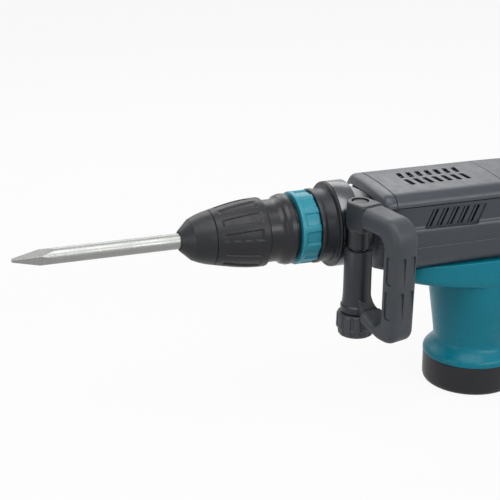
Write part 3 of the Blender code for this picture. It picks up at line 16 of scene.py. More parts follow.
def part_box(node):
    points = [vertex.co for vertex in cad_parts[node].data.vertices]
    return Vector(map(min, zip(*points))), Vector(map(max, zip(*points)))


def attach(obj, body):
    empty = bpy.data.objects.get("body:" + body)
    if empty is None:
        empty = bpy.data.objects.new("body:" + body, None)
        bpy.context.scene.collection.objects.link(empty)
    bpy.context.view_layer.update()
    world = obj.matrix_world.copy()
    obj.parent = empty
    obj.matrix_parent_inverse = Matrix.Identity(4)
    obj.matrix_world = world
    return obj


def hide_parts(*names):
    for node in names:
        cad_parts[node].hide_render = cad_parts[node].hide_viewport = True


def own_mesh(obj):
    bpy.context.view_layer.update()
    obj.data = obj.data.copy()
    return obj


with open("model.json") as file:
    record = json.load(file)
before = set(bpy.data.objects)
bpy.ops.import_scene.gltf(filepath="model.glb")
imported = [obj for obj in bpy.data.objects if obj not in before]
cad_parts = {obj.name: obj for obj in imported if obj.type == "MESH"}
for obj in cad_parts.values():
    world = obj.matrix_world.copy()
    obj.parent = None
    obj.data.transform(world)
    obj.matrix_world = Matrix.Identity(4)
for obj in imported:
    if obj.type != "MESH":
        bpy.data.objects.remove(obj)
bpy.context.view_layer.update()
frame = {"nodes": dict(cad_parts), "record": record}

MM = 0.001
AXIS_Z = 226
GAP = 0.3
WALL = 3
ROUND = 120
FINE_ROUND = 480

# Chuck, along the tool axis
BIT_TIP_X = -573
BIT_R = 9
BIT_POINT = 47
BIT_TIP_R = 1.5
BIT_TURN = 20
SHANK_X = -294
GROOVE_X = (-357.3, -311.3)
GROOVE_FLOOR = 6
GROOVE_HALF_SINE = 0.632
SHANK_CHAMFER = 1.2
NOSE_X = -382
CAP_SEAM_X = -345.3
CAP_R = 31.4
CAP_FLOOR = 10.6
CAP_BORE_R = 19.8
COVER_END_X = -283.7
COVER_R = 39.8
NECK_R = 36
FLANGE_X = -259.5
FLANGE_END_X = -252.7
FLANGE_R = 41
SPIGOT_R = 34.5
RING_X = -247.1
RING_END_X = -224.1
RING_R = 42.3
HOLDER_REAR_R = 30
SPRING_X = (-328.3, -297.7)
SPRING_R = 25
SPRING_WIRE_R = 1.4
SPRING_TURNS = 3
FLUTES = 12

# Barrel and side handle
BARREL_X = -223.5
COLLAR_R = 43.3
BARREL_R = 42.3
LIP_X = -203.5
LIP_R = 49.6
SEAT_R = 46.7
BAND_X = -200.8
BAND_END_X = -179.2
BAND_INNER_R = 47.3
BAND_OUTER_R = 49.9
BARREL_END_X = -150
BARREL_END_R = 30.6
CYLINDER_R = 27
BOLT_AT = (-190, -66)
BOLT_R = 5
EAR_R = 10
SPLIT_Z = -8
HANDLE_SWING = 16.5
GRIP_HALF_W = 16.5
GRIP_EDGE = 8
SLOT_HALF_LEN = 17
SLOT_Z = -11.5
SLOT_PITCH = 41
KNOB_Z = -85

# Housing
HOOD_FRONT_X = -153.2
COVER_FRONT_X = -155
SEAM_X = 5
REAR_COVER_END_X = 80
TOP_VENTS = 7
TOP_VENT_X = -107
TOP_VENT_PITCH = 12.1
SIDE_VENTS = 5
SIDE_VENT_AT = (-100.4, 2.8)
SIDE_VENT_PITCH = 13.3
PANEL_Y = 54.6
FAIRING_TOP = 176
FAIRING_DEPTH = 42
FAIRING_HALF_W = 57.5
FAIRING_X = (-117, 76)
FOOT_SEAM = 37
FOOT_R = 59.4
COLUMN_Z = (37.3, 150)
MOTOR_BORE_R = 43
GEAR_PIT_X = -44.8
GEAR_PIT_R = 42.2
GEAR_PIT_FLOOR = 154

# Rear handle and controls
TRIGGER_AT = (160, 204)
TRIGGER_HALF_W = 9
BUTTON_AT = (166, 218)
PAD_Z = (116, 216)
INLET_X = 149
INLET_R = 8
DIAL_AT = (60, -43.5)
DIAL_R = 14
LAMP_X = (24.2, 36.2)
LAMP_Z = 12
LAMP_R = 3

# Camera
CAMERA_TURN = 20.99
CAMERA_RISE = 20.43
CAMERA_ROLL = 0.70
CAMERA_TARGET = (-0.296, 0, 0.2049)
CAMERA_BACK = 1.8346
CAMERA_LENS = 115.2


# Mesh helpers


def along_axis(station, radius, angle):
    """Point of a piece turned about the tool axis; angle 0 is the top, rising towards the left side."""
    return (station, -radius * math.sin(angle), radius * math.cos(angle))


def softened(points, reach, steps=4, closed=False):
    """The outline with each corner rounded over the given reach."""
    out = []
    count = len(points)
    for i, point in enumerate(points):
        if not closed and i in (0, count - 1):
            out.append(tuple(point))
            continue
        here = Vector(point)
        before = Vector(points[i - 1]) - here
        after = Vector(points[(i + 1) % count]) - here
        start = here + before.normalized() * min(reach, 0.45 * before.length)
        end = here + after.normalized() * min(reach, 0.45 * after.length)
        for k in range(steps + 1):
            share = k / steps
            out.append(tuple(start.lerp(here, share).lerp(here.lerp(end, share), share)))
    return out


def offset(x, radius, *points):
    """Profile points given from a station and a radius."""
    return [(x + along, radius + out) for along, out in points]


def spread(first, second, count):
    """Points of a straight stretch, both ends included."""
    return [tuple(a + (b - a) * k / count for a, b in zip(first, second)) for k in range(count + 1)]


def densified(points, longest):
    """The outline with its long stretches divided."""
    out = [points[0]]
    for first, second in zip(points, points[1:]):
        out += spread(first, second, max(1, math.ceil(math.dist(first, second) / longest)))[1:]
    return out


def arc(middle, radius, start, end, steps):
    """Points of an arc, in degrees, both ends included."""
    points = []
    for i in range(steps + 1):
        angle = math.radians(start + (end - start) * i / steps)
        points.append((middle[0] + radius * math.cos(angle), middle[1] + radius * math.sin(angle)))
    return points


def smooth_rows(rows, count):
    """Rows of a table read as smooth curves over their first column."""
    out = []
    last = len(rows) - 1
    for i in range(last):
        before, start, end, after = (rows[max(i - 1, 0)], rows[i], rows[i + 1], rows[min(i + 2, last)])
        span = end[0] - start[0]
        parts = max(2, round(count * span))
        for k in range(parts):
            t = k / parts
            row = [start[0] + span * t]
            for c in range(1, len(start)):
                slope_in = (end[c] - before[c]) / max(end[0] - before[0], 1e-6) * span
                slope_out = (after[c] - start[c]) / max(after[0] - start[0], 1e-6) * span
                a = 2 * t**3 - 3 * t**2 + 1
                b = t**3 - 2 * t**2 + t
                row.append(a * start[c] + b * slope_in + (1 - a) * end[c] + (t**3 - t**2) * slope_out)
            out.append(tuple(row))
    return out + [tuple(rows[-1])]


def closed_mesh(name, bm):
    """A plain mesh from the drawn faces, doubles merged and faces turned outwards."""
    bmesh.ops.remove_doubles(bm, verts=bm.verts, dist=0.005)
    bmesh.ops.recalc_face_normals(bm, faces=bm.faces)
    mesh = bpy.data.meshes.new(name)
    bm.to_mesh(mesh)
    bm.free()
    return mesh


def skin_rows(bm, rows, ring=True):
    """Faces between neighbouring rows of vertices. A row of one vertex is a pole."""
    steps = max(len(row) for row in rows)
    for first, second in zip(rows, rows[1:]):
        for i in range(steps if ring else steps - 1):
            j = (i + 1) % steps
            corners = (first[i % len(first)], first[j % len(first)])
            corners += (second[j % len(second)], second[i % len(second)])
            corners = list(dict.fromkeys(corners))
            if len(corners) > 2:
                bm.faces.new(corners)


def turned_mesh(name, outer, bore=None, steps=ROUND, blind=()):
    """A mesh turned about the tool axis from (station, radius) points of rising station. Without a bore
    its ends close on the axis, with a blind hole before the outer side where there is one. The outer
    side's vertices are marked for later relief."""
    path = list(blind) + list(outer) + list(reversed(bore or []))
    bm = bmesh.new()
    mark = bm.verts.layers.float.new("outer")
    rows = []
    for i, (station, radius) in enumerate(path):
        turns = range(steps) if radius > 0.001 else range(1)
        row = [bm.verts.new(along_axis(station, radius, 2 * math.pi * k / steps)) for k in turns]
        for vert in row:
            vert[mark] = float(len(blind) <= i < len(blind) + len(outer))
        rows.append(row)
    skin_rows(bm, rows + (rows[:1] if bore else []))
    return closed_mesh(name, bm)


def lofted(name, rings, front=True, rear=True, ring=True):
    """A skin through rings of points, closed at the front and the rear unless an end is left open."""
    bm = bmesh.new()
    rows = [[bm.verts.new(point) for point in points] for points in rings]
    skin_rows(bm, rows, ring)
    if front:
        bm.faces.new(rows[0])
    if rear:
        bm.faces.new(list(reversed(rows[-1])))
    return closed_mesh(name, bm)


def merged(name, *meshes):
    """Several meshes as one."""
    bm = bmesh.new()
    for mesh in meshes:
        bm.from_mesh(mesh)
    return closed_mesh(name, bm)


def prism(name, outline, depth, matrix):
    """An outline in its own XY plane, given a depth both ways along Z and then placed."""
    rings = [[(u, v, z) for u, v in outline] for z in (-depth, depth)]
    mesh = lofted(name, rings)
    mesh.transform(matrix)
    return mesh


def boxed(name, low, high):
    """A box between two corners."""
    outline = [(low[0], low[1]), (high[0], low[1]), (high[0], high[1]), (low[0], high[1])]
    middle = (low[2] + high[2]) / 2
    return prism(name, outline, (high[2] - low[2]) / 2, Matrix.Translation((0, 0, middle)))


def held(name, data):
    """An object in the scene that holds the mesh, light or camera."""
    obj = bpy.data.objects.new(name, data)
    bpy.context.scene.collection.objects.link(obj)
    return obj


def applied(obj):
    """The object's mesh with its modifiers applied. The object itself goes."""
    graph = bpy.context.evaluated_depsgraph_get()
    mesh = bpy.data.meshes.new_from_object(obj.evaluated_get(graph))
    bpy.data.objects.remove(obj)
    return mesh


def joined(mesh, operation, *tools):
    """The mesh with the tools' shapes added or taken away."""
    obj = held("blank", mesh)
    holders = [held("tool", tool) for tool in tools]
    for holder in holders:
        change = obj.modifiers.new("shape", "BOOLEAN")
        change.operation = operation
        change.object = holder
        change.solver = "EXACT"
    result = applied(obj)
    for holder in holders:
        bpy.data.objects.remove(holder)
    return result


def bevelled(mesh, width, segments=2, angle=40):
    """The mesh with its sharp edges rounded."""
    obj = held("blank", mesh)
    edge = obj.modifiers.new("edges", "BEVEL")
    edge.width = width
    edge.segments = segments
    edge.limit_method = "ANGLE"
    edge.angle_limit = math.radians(angle)
    return applied(obj)


def walled(mesh, thickness):
    """A shell of the given wall inside the skin."""
    obj = held("blank", mesh)
    wall = obj.modifiers.new("wall", "SOLIDIFY")
    wall.thickness = thickness
    wall.offset = -1
    wall.use_even_offset = True
    return applied(obj)


def finished(name, mesh, look, body, *nodes, slot=None, lift=0.0, sharp=35):
    """Brings a mesh to metres as a piece of the model that stands for the named nodes. The slot argument is
    not used."""
    mesh.name = name
    mesh.transform(Matrix.Scale(MM, 4) @ Matrix.Translation((0, 0, lift)))
    mesh.materials.clear()
    mesh.materials.append(LOOKS[look])
    for face in mesh.polygons:
        face.material_index = 0
    mesh.shade_smooth()
    mesh.set_sharp_from_angle(angle=math.radians(sharp))
    obj = held(name, mesh)
    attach(obj, body)
    if nodes:
        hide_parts(*nodes)
    return obj


# Node trees


def feed(tree, socket, value):
    """Sets a socket, by a link where the value comes from another node."""
    if isinstance(value, bpy.types.NodeSocket):
        tree.links.new(value, socket)
    else:
        socket.default_value = value


def node(tree, kind, *values, named=None, **settings):
    """A node with its settings, its first inputs fed in order and others by name."""
    made = tree.nodes.new(kind)
    for key, value in settings.items():
        setattr(made, key, value)
    given = list(zip(made.inputs, values)) + [(made.inputs[key], named[key]) for key in named or ()]
    for socket, value in given:
        if value is not None:
            feed(tree, socket, value)
    return made


def maths(tree, operation, *values):
    """The outcome of a sum on values or sockets."""
    return node(tree, "ShaderNodeMath", *values, operation=operation).outputs[0]


def eased(tree, value, start, end):
    """Rises smoothly from 0 to 1 between the start and the end."""
    return node(tree, "ShaderNodeMapRange", value, start, end, interpolation_type="SMOOTHSTEP").outputs[0]


def new_tree(name, inputs):
    """An empty geometry tree with its named inputs; returns the tree, its input sockets and its end."""
    tree = bpy.data.node_groups.new(name, "GeometryNodeTree")
    tree.interface.new_socket("Geometry", in_out="INPUT", socket_type="NodeSocketGeometry")
    for label, kind in inputs.items():
        tree.interface.new_socket(label, in_out="INPUT", socket_type="NodeSocket" + kind)
    tree.interface.new_socket("Geometry", in_out="OUTPUT", socket_type="NodeSocketGeometry")
    start = tree.nodes.new("NodeGroupInput")
    return tree, start.outputs, tree.nodes.new("NodeGroupOutput")


def end_tree(tree, geometry, look, end):
    real = node(tree, "GeometryNodeRealizeInstances", geometry)
    dressed = node(tree, "GeometryNodeSetMaterial", real.outputs[0], None, look)
    tree.links.new(dressed.outputs[0], end.inputs[0])
    return tree


def relief_tree():
    """Presses flutes or windows into the outer side of a piece turned about the tool axis."""
    floats = ("Count", "Depth", "Front Share", "Rear Share", "Edge", "Start", "End", "Ease", "Phase")
    inputs = {label: "Float" for label in floats} | {"Finish": "Material"}
    tree, given, end = new_tree("turned_relief", inputs)

    def calc(operation, *values):
        return maths(tree, operation, *values)

    place = node(tree, "GeometryNodeInputPosition").outputs[0]
    parts = node(tree, "ShaderNodeSeparateXYZ", place).outputs
    angle = calc("ARCTAN2", parts[1], parts[2])
    turn = calc("MULTIPLY_ADD", angle, 0.5 / math.pi, 1.0)
    cell = calc("FRACT", calc("MULTIPLY_ADD", turn, given["Count"], given["Phase"]))
    off = calc("ABSOLUTE", calc("SUBTRACT", cell, 0.5))
    along = node(tree, "ShaderNodeMapRange", parts[0], given["Start"], given["End"]).outputs[0]
    growth = calc("SUBTRACT", given["Rear Share"], given["Front Share"])
    share = calc("MULTIPLY_ADD", along, growth, given["Front Share"])
    half = calc("MULTIPLY", share, 0.5)
    inner = calc("SUBTRACT", half, given["Edge"])
    across = eased(tree, off, calc("ADD", half, given["Edge"]), inner)
    front = eased(tree, parts[0], given["Start"], calc("ADD", given["Start"], given["Ease"]))
    rear = eased(tree, parts[0], given["End"], calc("SUBTRACT", given["End"], given["Ease"]))
    marked = node(tree, "GeometryNodeInputNamedAttribute", "outer", data_type="FLOAT").outputs[0]
    depth = calc("MULTIPLY", calc("MULTIPLY", front, rear), across)
    depth = calc("MULTIPLY", calc("MULTIPLY", depth, marked), given["Depth"])
    flat = node(tree, "ShaderNodeVectorMath", place, (0, -1, -1), operation="MULTIPLY").outputs[0]
    inward = node(tree, "ShaderNodeVectorMath", flat, operation="NORMALIZE").outputs[0]
    push = node(tree, "ShaderNodeVectorMath", inward, named={"Scale": depth}, operation="SCALE").outputs[0]
    moved = node(tree, "GeometryNodeSetPosition", given["Geometry"], named={"Offset": push})
    return end_tree(tree, moved.outputs[0], given["Finish"], end)


def repeat_tree():
    """Repeats one shape along a line."""
    inputs = {"Shape": "Object", "Count": "Int", "First": "Vector", "Step": "Vector", "Finish": "Material"}
    tree, given, end = new_tree("repeated_shape", inputs)
    index = node(tree, "GeometryNodeInputIndex").outputs[0]
    walk = node(tree, "ShaderNodeVectorMath", given["Step"], named={"Scale": index}, operation="SCALE")
    place = node(tree, "ShaderNodeVectorMath", given["First"], walk.outputs[0], operation="ADD").outputs[0]
    points = node(tree, "GeometryNodePoints", given["Count"], place).outputs[0]
    shape = node(tree, "GeometryNodeObjectInfo", given["Shape"]).outputs["Geometry"]
    copies = node(tree, "GeometryNodeInstanceOnPoints", points, named={"Instance": shape})
    return end_tree(tree, copies.outputs[0], given["Finish"], end)


RELIEF = relief_tree()
REPEAT = repeat_tree()


def with_tree(obj, tree, values):
    """Runs a geometry tree on an object, its inputs set by name, and returns the plain mesh."""
    change = obj.modifiers.new(tree.name, "NODES")
    change.node_group = tree
    for item in tree.interface.items_tree:
        if item.in_out == "INPUT" and item.name in values:
            change[item.identifier] = values[item.name]
    return applied(obj)


def pressed(mesh, look, **values):
    """The turned mesh with flutes or windows pressed in."""
    sizes = {key.replace("_", " ").title(): float(value) for key, value in values.items()}
    return with_tree(held("blank", mesh), RELIEF, sizes | {"Finish": LOOKS[look]})


def repeated(shape, look, count, first, step):
    """Copies of the shape along a line, in one plain mesh."""
    master = held("master", shape)
    values = {"Shape": master, "Count": count, "First": first, "Step": step, "Finish": LOOKS[look]}
    mesh = with_tree(held("copies", bpy.data.meshes.new("copies")), REPEAT, values)
    bpy.data.objects.remove(master)
    return mesh


# Finishes


def finish_tree(name, roughness, metallic=0.0, specular=0.5):
    look = bpy.data.materials.new(name)
    look.use_nodes = True
    tree = look.node_tree
    shader = tree.nodes["Principled BSDF"]
    shader.inputs["Roughness"].default_value = roughness
    shader.inputs["Metallic"].default_value = metallic
    shader.inputs["Specular IOR Level"].default_value = specular
    return look, tree, shader


def noise(tree, scale, stretch=(1, 1, 1), detail=3.0):
    """Noise on the piece's own coordinates, per metre."""
    place = node(tree, "ShaderNodeTexCoord").outputs["Object"]
    drawn = node(tree, "ShaderNodeMapping", place, named={"Scale": stretch}).outputs[0]
    sizes = {"Vector": drawn, "Scale": scale, "Detail": detail}
    return node(tree, "ShaderNodeTexNoise", named=sizes).outputs[0]


def ranged(tree, value, low, high):
    return node(tree, "ShaderNodeMapRange", value, 0.3, 0.7, low, high).outputs[0]


def blended(tree, share, first, second):
    colours = {0: share, 6: (*first, 1), 7: (*second, 1)}
    return node(tree, "ShaderNodeMix", named=colours, data_type="RGBA").outputs[2]


def bump(tree, shader, height, strength, distance):
    sizes = {"Strength": strength, "Distance": distance, "Height": height}
    tree.links.new(node(tree, "ShaderNodeBump", named=sizes).outputs[0], shader.inputs["Normal"])


def tinted(tree, shader, share, colour, low, high):
    """The colour, between its two shades."""
    shades = [[channel * factor for channel in colour] for factor in (low, high)]
    tree.links.new(blended(tree, share, *shades), shader.inputs["Base Color"])


def moulded(name, colour, roughness, specular=0.5, grain=0.12):
    """Moulded plastic or rubber: faint mottling, a fine spark-eroded grain and uneven gloss."""
    look, tree, shader = finish_tree(name, roughness, 0.0, specular)
    cloud = noise(tree, 38)
    tinted(tree, shader, cloud, colour, 0.9, 1.1)
    handled = noise(tree, 90, detail=5)
    tree.links.new(ranged(tree, handled, roughness - 0.05, roughness + 0.06), shader.inputs["Roughness"])
    bump(tree, shader, noise(tree, 1500, detail=2), grain, 0.0002)
    return look


def metal(name, colour, roughness, stretch, scale=900, grain=0.1):
    """Machined metal: fine tool lines across the stretched direction and cloudy handling marks."""
    look, tree, shader = finish_tree(name, roughness, 1.0)
    lines = noise(tree, scale, stretch, detail=4)
    cloud = noise(tree, 60, detail=4)
    tinted(tree, shader, lines, colour, 0.88, 1.08)
    tree.links.new(ranged(tree, cloud, roughness - 0.06, roughness + 0.06), shader.inputs["Roughness"])
    bump(tree, shader, lines, grain, 0.0001)
    return look


def cast(name, colour, roughness):
    """Sand-cast metal: grainy skin and darker pits."""
    look, tree, shader = finish_tree(name, roughness, 1.0)
    skin = noise(tree, 700, detail=6)
    tinted(tree, shader, skin, colour, 0.8, 1.1)
    tree.links.new(ranged(tree, skin, roughness + 0.08, roughness - 0.08), shader.inputs["Roughness"])
    bump(tree, shader, skin, 0.3, 0.0003)
    return look


def laminated(name, colour):
    """Stacked steel sheets, seen as fine bands up the motor's axis."""
    look, tree, shader = finish_tree(name, 0.5, 1.0)
    bands = noise(tree, 1, (30, 30, 2500), detail=2)
    tinted(tree, shader, bands, colour, 0.6, 1.2)
    bump(tree, shader, bands, 0.3, 0.0002)
    return look


def lens(name, colour):
    look, tree, shader = finish_tree(name, 0.12)
    tinted(tree, shader, noise(tree, 400), colour, 0.8, 1.15)
    shader.inputs["Transmission Weight"].default_value = 0.25
    return look


ROUND_LINES = (1.0, 0.03, 0.03)
LOOKS = {
    "bit_steel": metal("ground_bit_steel", (0.29, 0.295, 0.285), 0.38, ROUND_LINES, 700, 0.08),
    "polished_steel": metal("polished_band_steel", (0.10, 0.103, 0.11), 0.26, ROUND_LINES, 1400, 0.05),
    "bright_steel": metal("bright_steel", (0.50, 0.50, 0.51), 0.26, ROUND_LINES),
    "dark_steel": metal("blackened_steel", (0.06, 0.06, 0.065), 0.42, ROUND_LINES),
    "cast_aluminium": cast("cast_aluminium", (0.34, 0.35, 0.36), 0.45),
    # Painted shade: the crankcase is cast aluminium, and this near-black casting stands in for the shade
    # inside the housing behind the vents.
    "painted_shade_casting": cast("casting_painted_dark_for_shade", (0.05, 0.05, 0.052), 0.65),
    "laminated_steel": laminated("laminated_steel", (0.30, 0.30, 0.31)),
    "copper": metal("copper", (0.62, 0.30, 0.17), 0.35, (1, 1, 0.05)),
    "carbon": moulded("pressed_carbon", (0.02, 0.02, 0.021), 0.7, 0.2),
    "rubber_nose": moulded("nose_rubber", (0.013, 0.014, 0.017), 0.42, 0.30, 0.2),
    "black_plastic": moulded("black_plastic", (0.013, 0.0135, 0.0165), 0.40, 0.28, 0.15),
    "gloss_black": moulded("gloss_black_plastic", (0.010, 0.0105, 0.0125), 0.30, 0.32, 0.03),
    "teal_ring": moulded("teal_ring_plastic", (0.016, 0.215, 0.285), 0.34, 0.34),
    "barrel_grey": moulded("painted_barrel", (0.014, 0.016, 0.020), 0.38, 0.32, 0.15),
    "knob_plastic": moulded("knob_plastic", (0.036, 0.040, 0.048), 0.40, 0.38, 0.2),
    "charcoal_plastic": moulded("charcoal_plastic", (0.030, 0.036, 0.046), 0.36, 0.42, 0.2),
    "teal_plastic": moulded("teal_plastic", (0.001, 0.150, 0.208), 0.30, 0.2, 0.05),
    "handle_plastic": moulded("handle_plastic", (0.019, 0.021, 0.026), 0.38, 0.34, 0.25),
    "handle_rubber": moulded("handle_rubber", (0.038, 0.043, 0.051), 0.46, 0.32, 0.3),
    "green_lens": lens("green_lens", (0.03, 0.35, 0.08)),
    "red_lens": lens("red_lens", (0.45, 0.03, 0.02)),
}


def dress_solids():
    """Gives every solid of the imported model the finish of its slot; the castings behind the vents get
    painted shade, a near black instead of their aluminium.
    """
    for row in frame["record"]["subparts"]:
        for place in frame["nodes"][row["node"]].material_slots:
            # Painted shade: the crankcase and its cover, seen through the vents, are coloured near black in
            # place of their aluminium.
            shaded_behind_vents = row["node"] in ("crankcase", "crank_cover")
            place.material = LOOKS["painted_shade_casting" if shaded_behind_vents else row["material_slot"]]


# Bit and chuck


def bull_point():
    """Round bar ground to a four-sided point with a blunt tip, and the two locking grooves of its shank."""
    stations = [BIT_TIP_X + along for along in (0, 0.25, 0.8, 1.6)]
    stations += [BIT_TIP_X + 3 + k * (BIT_POINT - 3) / 48 for k in range(49)]
    shank = (GROOVE_X[0] - 0.01, GROOVE_X[0], GROOVE_X[1], GROOVE_X[1] + 0.01, SHANK_X - 1.5, SHANK_X)
    stations += [BIT_TIP_X + 70, BIT_TIP_X + 120, NOSE_X, *shank]
    tip_round = {0: 0.35, 0.25: 0.75, 0.8: 0.97}
    steps = 192
    rings = []
    for x in stations:
        along = x - BIT_TIP_X
        half = BIT_TIP_R + (BIT_R - BIT_TIP_R) * along / BIT_POINT
        half *= tip_round.get(round(along, 2), 1)
        ring = []
        for k in range(steps):
            angle = 2 * math.pi * k / steps
            turned = angle + math.radians(90 - BIT_TURN)
            radius = min(BIT_R, half / max(abs(math.cos(turned)), abs(math.sin(turned))))
            if GROOVE_X[0] <= x <= GROOVE_X[1] and abs(math.sin(angle)) < GROOVE_HALF_SINE:
                radius = min(radius, GROOVE_FLOOR / abs(math.cos(angle)))
            if x == SHANK_X:
                radius -= SHANK_CHAMFER
            ring.append(along_axis(x, radius, angle))
        rings.append(ring)
    finished("bit", lofted("bit", rings), "bit_steel", "bull_point", "bull_point", lift=AXIS_Z, sharp=14)


def nose_cap():
    """Rubber cap: a rolled mouth, a steep cone and a fuller body behind its crease."""
    body = ((13, 23.5), (21, 27), (29, 29.6), (35.8, 31.2))
    lip = [(10, 9.5), (1.4, 9.5), (0.8, 9.8), (0.3, 10.4), (0.15, 11), (0.3, 11.6), (0.8, 12.3)]
    outer = [(NOSE_X + x, r) for x, r in lip + smooth_rows(body, 2)] + [(CAP_SEAM_X - GAP, CAP_R - 0.7)]
    floor_x = NOSE_X + CAP_FLOOR
    bore = [(floor_x, 9.4), (floor_x, CAP_BORE_R), (CAP_SEAM_X - GAP, CAP_BORE_R)]
    mesh = turned_mesh("nose", densified(outer, 2), bore)
    finished("nose_cap_fine", mesh, "rubber_nose", "tool_holder", "nose_cap", lift=AXIS_Z, sharp=18)


def cover_radius(x):
    share = (x - CAP_SEAM_X) / (COVER_END_X - CAP_SEAM_X)
    return CAP_R + (COVER_R - CAP_R) * math.sin(min(share * 1.08, 1) * math.pi / 2)


def release_cover():
    """Sleeve with flutes that widen towards its rear."""
    look = "black_plastic"
    count = 44
    length = COVER_END_X - 3 - CAP_SEAM_X
    stations = [CAP_SEAM_X + 1 + length * k / count for k in range(count + 1)]
    outer = offset(CAP_SEAM_X, CAP_R, (0, -0.7), (0.25, -0.2)) + [(x, cover_radius(x)) for x in stations]
    outer += offset(COVER_END_X, COVER_R, (-0.8, -0.35), (0, -1.4))
    seat = CAP_SEAM_X + 12.3
    bore = [(CAP_SEAM_X, CAP_R - WALL), (seat, cover_radius(seat) - WALL)]
    bore += [(COVER_END_X - 20, NECK_R + 0.4), (COVER_END_X, NECK_R + 0.4)]
    mesh = turned_mesh("cover", outer, bore, FINE_ROUND)
    mesh = pressed(mesh, look, count=FLUTES, depth=1.6, front_share=0.42, rear_share=0.6, edge=0.028,
                   start=CAP_SEAM_X + 7, end=COVER_END_X - 9, ease=3.0, phase=0.0)
    finished("release_cover_fine", mesh, look, "release_cover", "release_cover", lift=AXIS_Z, sharp=50)


def retainer_spring():
    """Coil spring between the lock ring and the holder. On the tool it shortens as the cover is drawn back;
    here it keeps one length.
    """
    start, end = SPRING_X
    per_turn = 36
    count = per_turn * SPRING_TURNS
    rings = []
    for k in range(count + 1):
        angle = 2 * math.pi * k / per_turn
        middle = Vector((start + (end - start) * k / count, 0, 0))
        across = Vector((0, math.cos(angle), math.sin(angle)))
        rings.append([tuple(middle + across * (SPRING_R + u) + Vector((v, 0, 0)))
                      for u, v in arc((0, 0), SPRING_WIRE_R, 0, 330, 11)])
    obj = finished("retainer_spring_fine", lofted("spring", rings), "bright_steel", "tool_holder",
                   "retainer_spring", lift=AXIS_Z)
    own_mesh(obj)


def guide_sleeve():
    """Neck that the cover slides on, run out into a flange, and the spigot under the ring."""
    front, rear = COVER_END_X - 6, RING_END_X - 9
    neck = [(front, NECK_R - 0.6), (COVER_END_X - 5, NECK_R), (FLANGE_X - 11, NECK_R)]
    flare = arc((FLANGE_X - 11, NECK_R + 9), 9, -90, -38, 8)
    flare = [(x, min(r, FLANGE_R - 1.2)) for x, r in flare]
    rim = offset(FLANGE_X, FLANGE_R, (0, -0.5), (0.7, 0))
    rim += offset(FLANGE_END_X, FLANGE_R, (-0.9, 0), (0, -0.9))
    rim += [(FLANGE_END_X, SPIGOT_R), (rear, SPIGOT_R)]
    bore = [(front, HOLDER_REAR_R + GAP), (rear, HOLDER_REAR_R + GAP)]
    mesh = turned_mesh("sleeve", densified(neck + flare + rim, 2.5), bore)
    finished("guide_sleeve_fine", mesh, "gloss_black", "tool_holder", "guide_sleeve", lift=AXIS_Z)


def change_ring():
    """Ring with a plain front rim and sunk windows between finger ribs."""
    look = "teal_ring"
    outer = offset(RING_X, RING_R, (0, -1.5), (0.4, -0.5), (1.3, 0))
    outer += offset(RING_END_X, RING_R, (-1.6, 0), (-0.5, -0.5), (0, -1.5))
    bore = [(RING_X, SPIGOT_R + 0.4), (RING_END_X, SPIGOT_R + 0.4)]
    mesh = turned_mesh("ring", densified(outer, 0.7), bore, FINE_ROUND)
    mesh = pressed(mesh, look, count=FLUTES, depth=1.7, front_share=0.66, rear_share=0.68, edge=0.03,
                   start=RING_X + 5, end=RING_END_X + 3, ease=1.2, phase=0.5)
    finished("change_ring_fine", mesh, look, "change_ring", "change_ring", lift=AXIS_Z, sharp=50)


def barrel():
    """Painted barrel with its collar, lip and band seat, and the bare casting behind the band."""
    seat, rear = BAND_X - GAP, BAND_END_X + GAP
    front = offset(BARREL_X, COLLAR_R, (0, -1.2), (0.4, -0.3), (1.2, 0), (5, 0), (5.8, -0.3))
    front += offset(BARREL_X, BARREL_R, (6.2, -0.6), (7, 0))
    front += offset(LIP_X, BARREL_R, (-2, 0), (-0.6, 0.5), (0, 1.8))
    lip = offset(LIP_X, LIP_R, (0, -0.7), (0.7, 0)) + [(BAND_X - 0.8, LIP_R)]
    lip += [(seat, LIP_R - 0.6), (seat, SEAT_R), (rear, SEAT_R)]
    bore = [(BARREL_X, HOLDER_REAR_R + 0.4), (LIP_X + 6, HOLDER_REAR_R + 0.4)]
    bore += [(LIP_X + 6, CYLINDER_R + GAP), (rear, CYLINDER_R + GAP)]
    mesh = turned_mesh("barrel", front + lip, bore, 160)
    finished("barrel_fine", mesh, "barrel_grey", "housing", "barrel", lift=AXIS_Z)
    neck = [(rear, SEAT_R - 2), (BAND_END_X + 3, SEAT_R - 2), (BARREL_END_X - 12, 38)]
    neck = softened(neck + [(BARREL_END_X, BARREL_END_R)], 5)
    bore = [(rear, CYLINDER_R + GAP), (BARREL_END_X, CYLINDER_R + GAP)]
    mesh = turned_mesh("barrel_neck", neck, bore, 96)
    finished("barrel_neck", mesh, "cast_aluminium", "housing", lift=AXIS_Z)


# Side handle


def spun(angle, axis):
    """A turn in degrees about an axis."""
    return Matrix.Rotation(math.radians(angle), 4, axis)


STAND = Matrix.Translation((*BOLT_AT, AXIS_Z)) @ spun(HANDLE_SWING - 90, "Z")
UPRIGHT = spun(-90, "Y")
FLAT_XZ = spun(90, "X")


def upright_mesh(name, outer, bore=None, steps=ROUND, blind=()):
    """A mesh turned about the Z axis; stations are heights."""
    mesh = turned_mesh(name, outer, bore, steps, blind)
    mesh.transform(UPRIGHT)
    return mesh


def round_hole(radius, low, high, at=(0, 0)):
    """A tool for an upright round hole."""
    mesh = upright_mesh("hole", [(low, 0), (low, radius), (high, radius), (high, 0)], steps=48)
    mesh.transform(Matrix.Translation((*at, 0)))
    return mesh


def across_prism(name, outline, depth, y=0):
    """An outline of (x, z) points, given a depth both ways across the tool."""
    return prism(name, outline, depth, Matrix.Translation((0, y, 0)) @ FLAT_XZ)


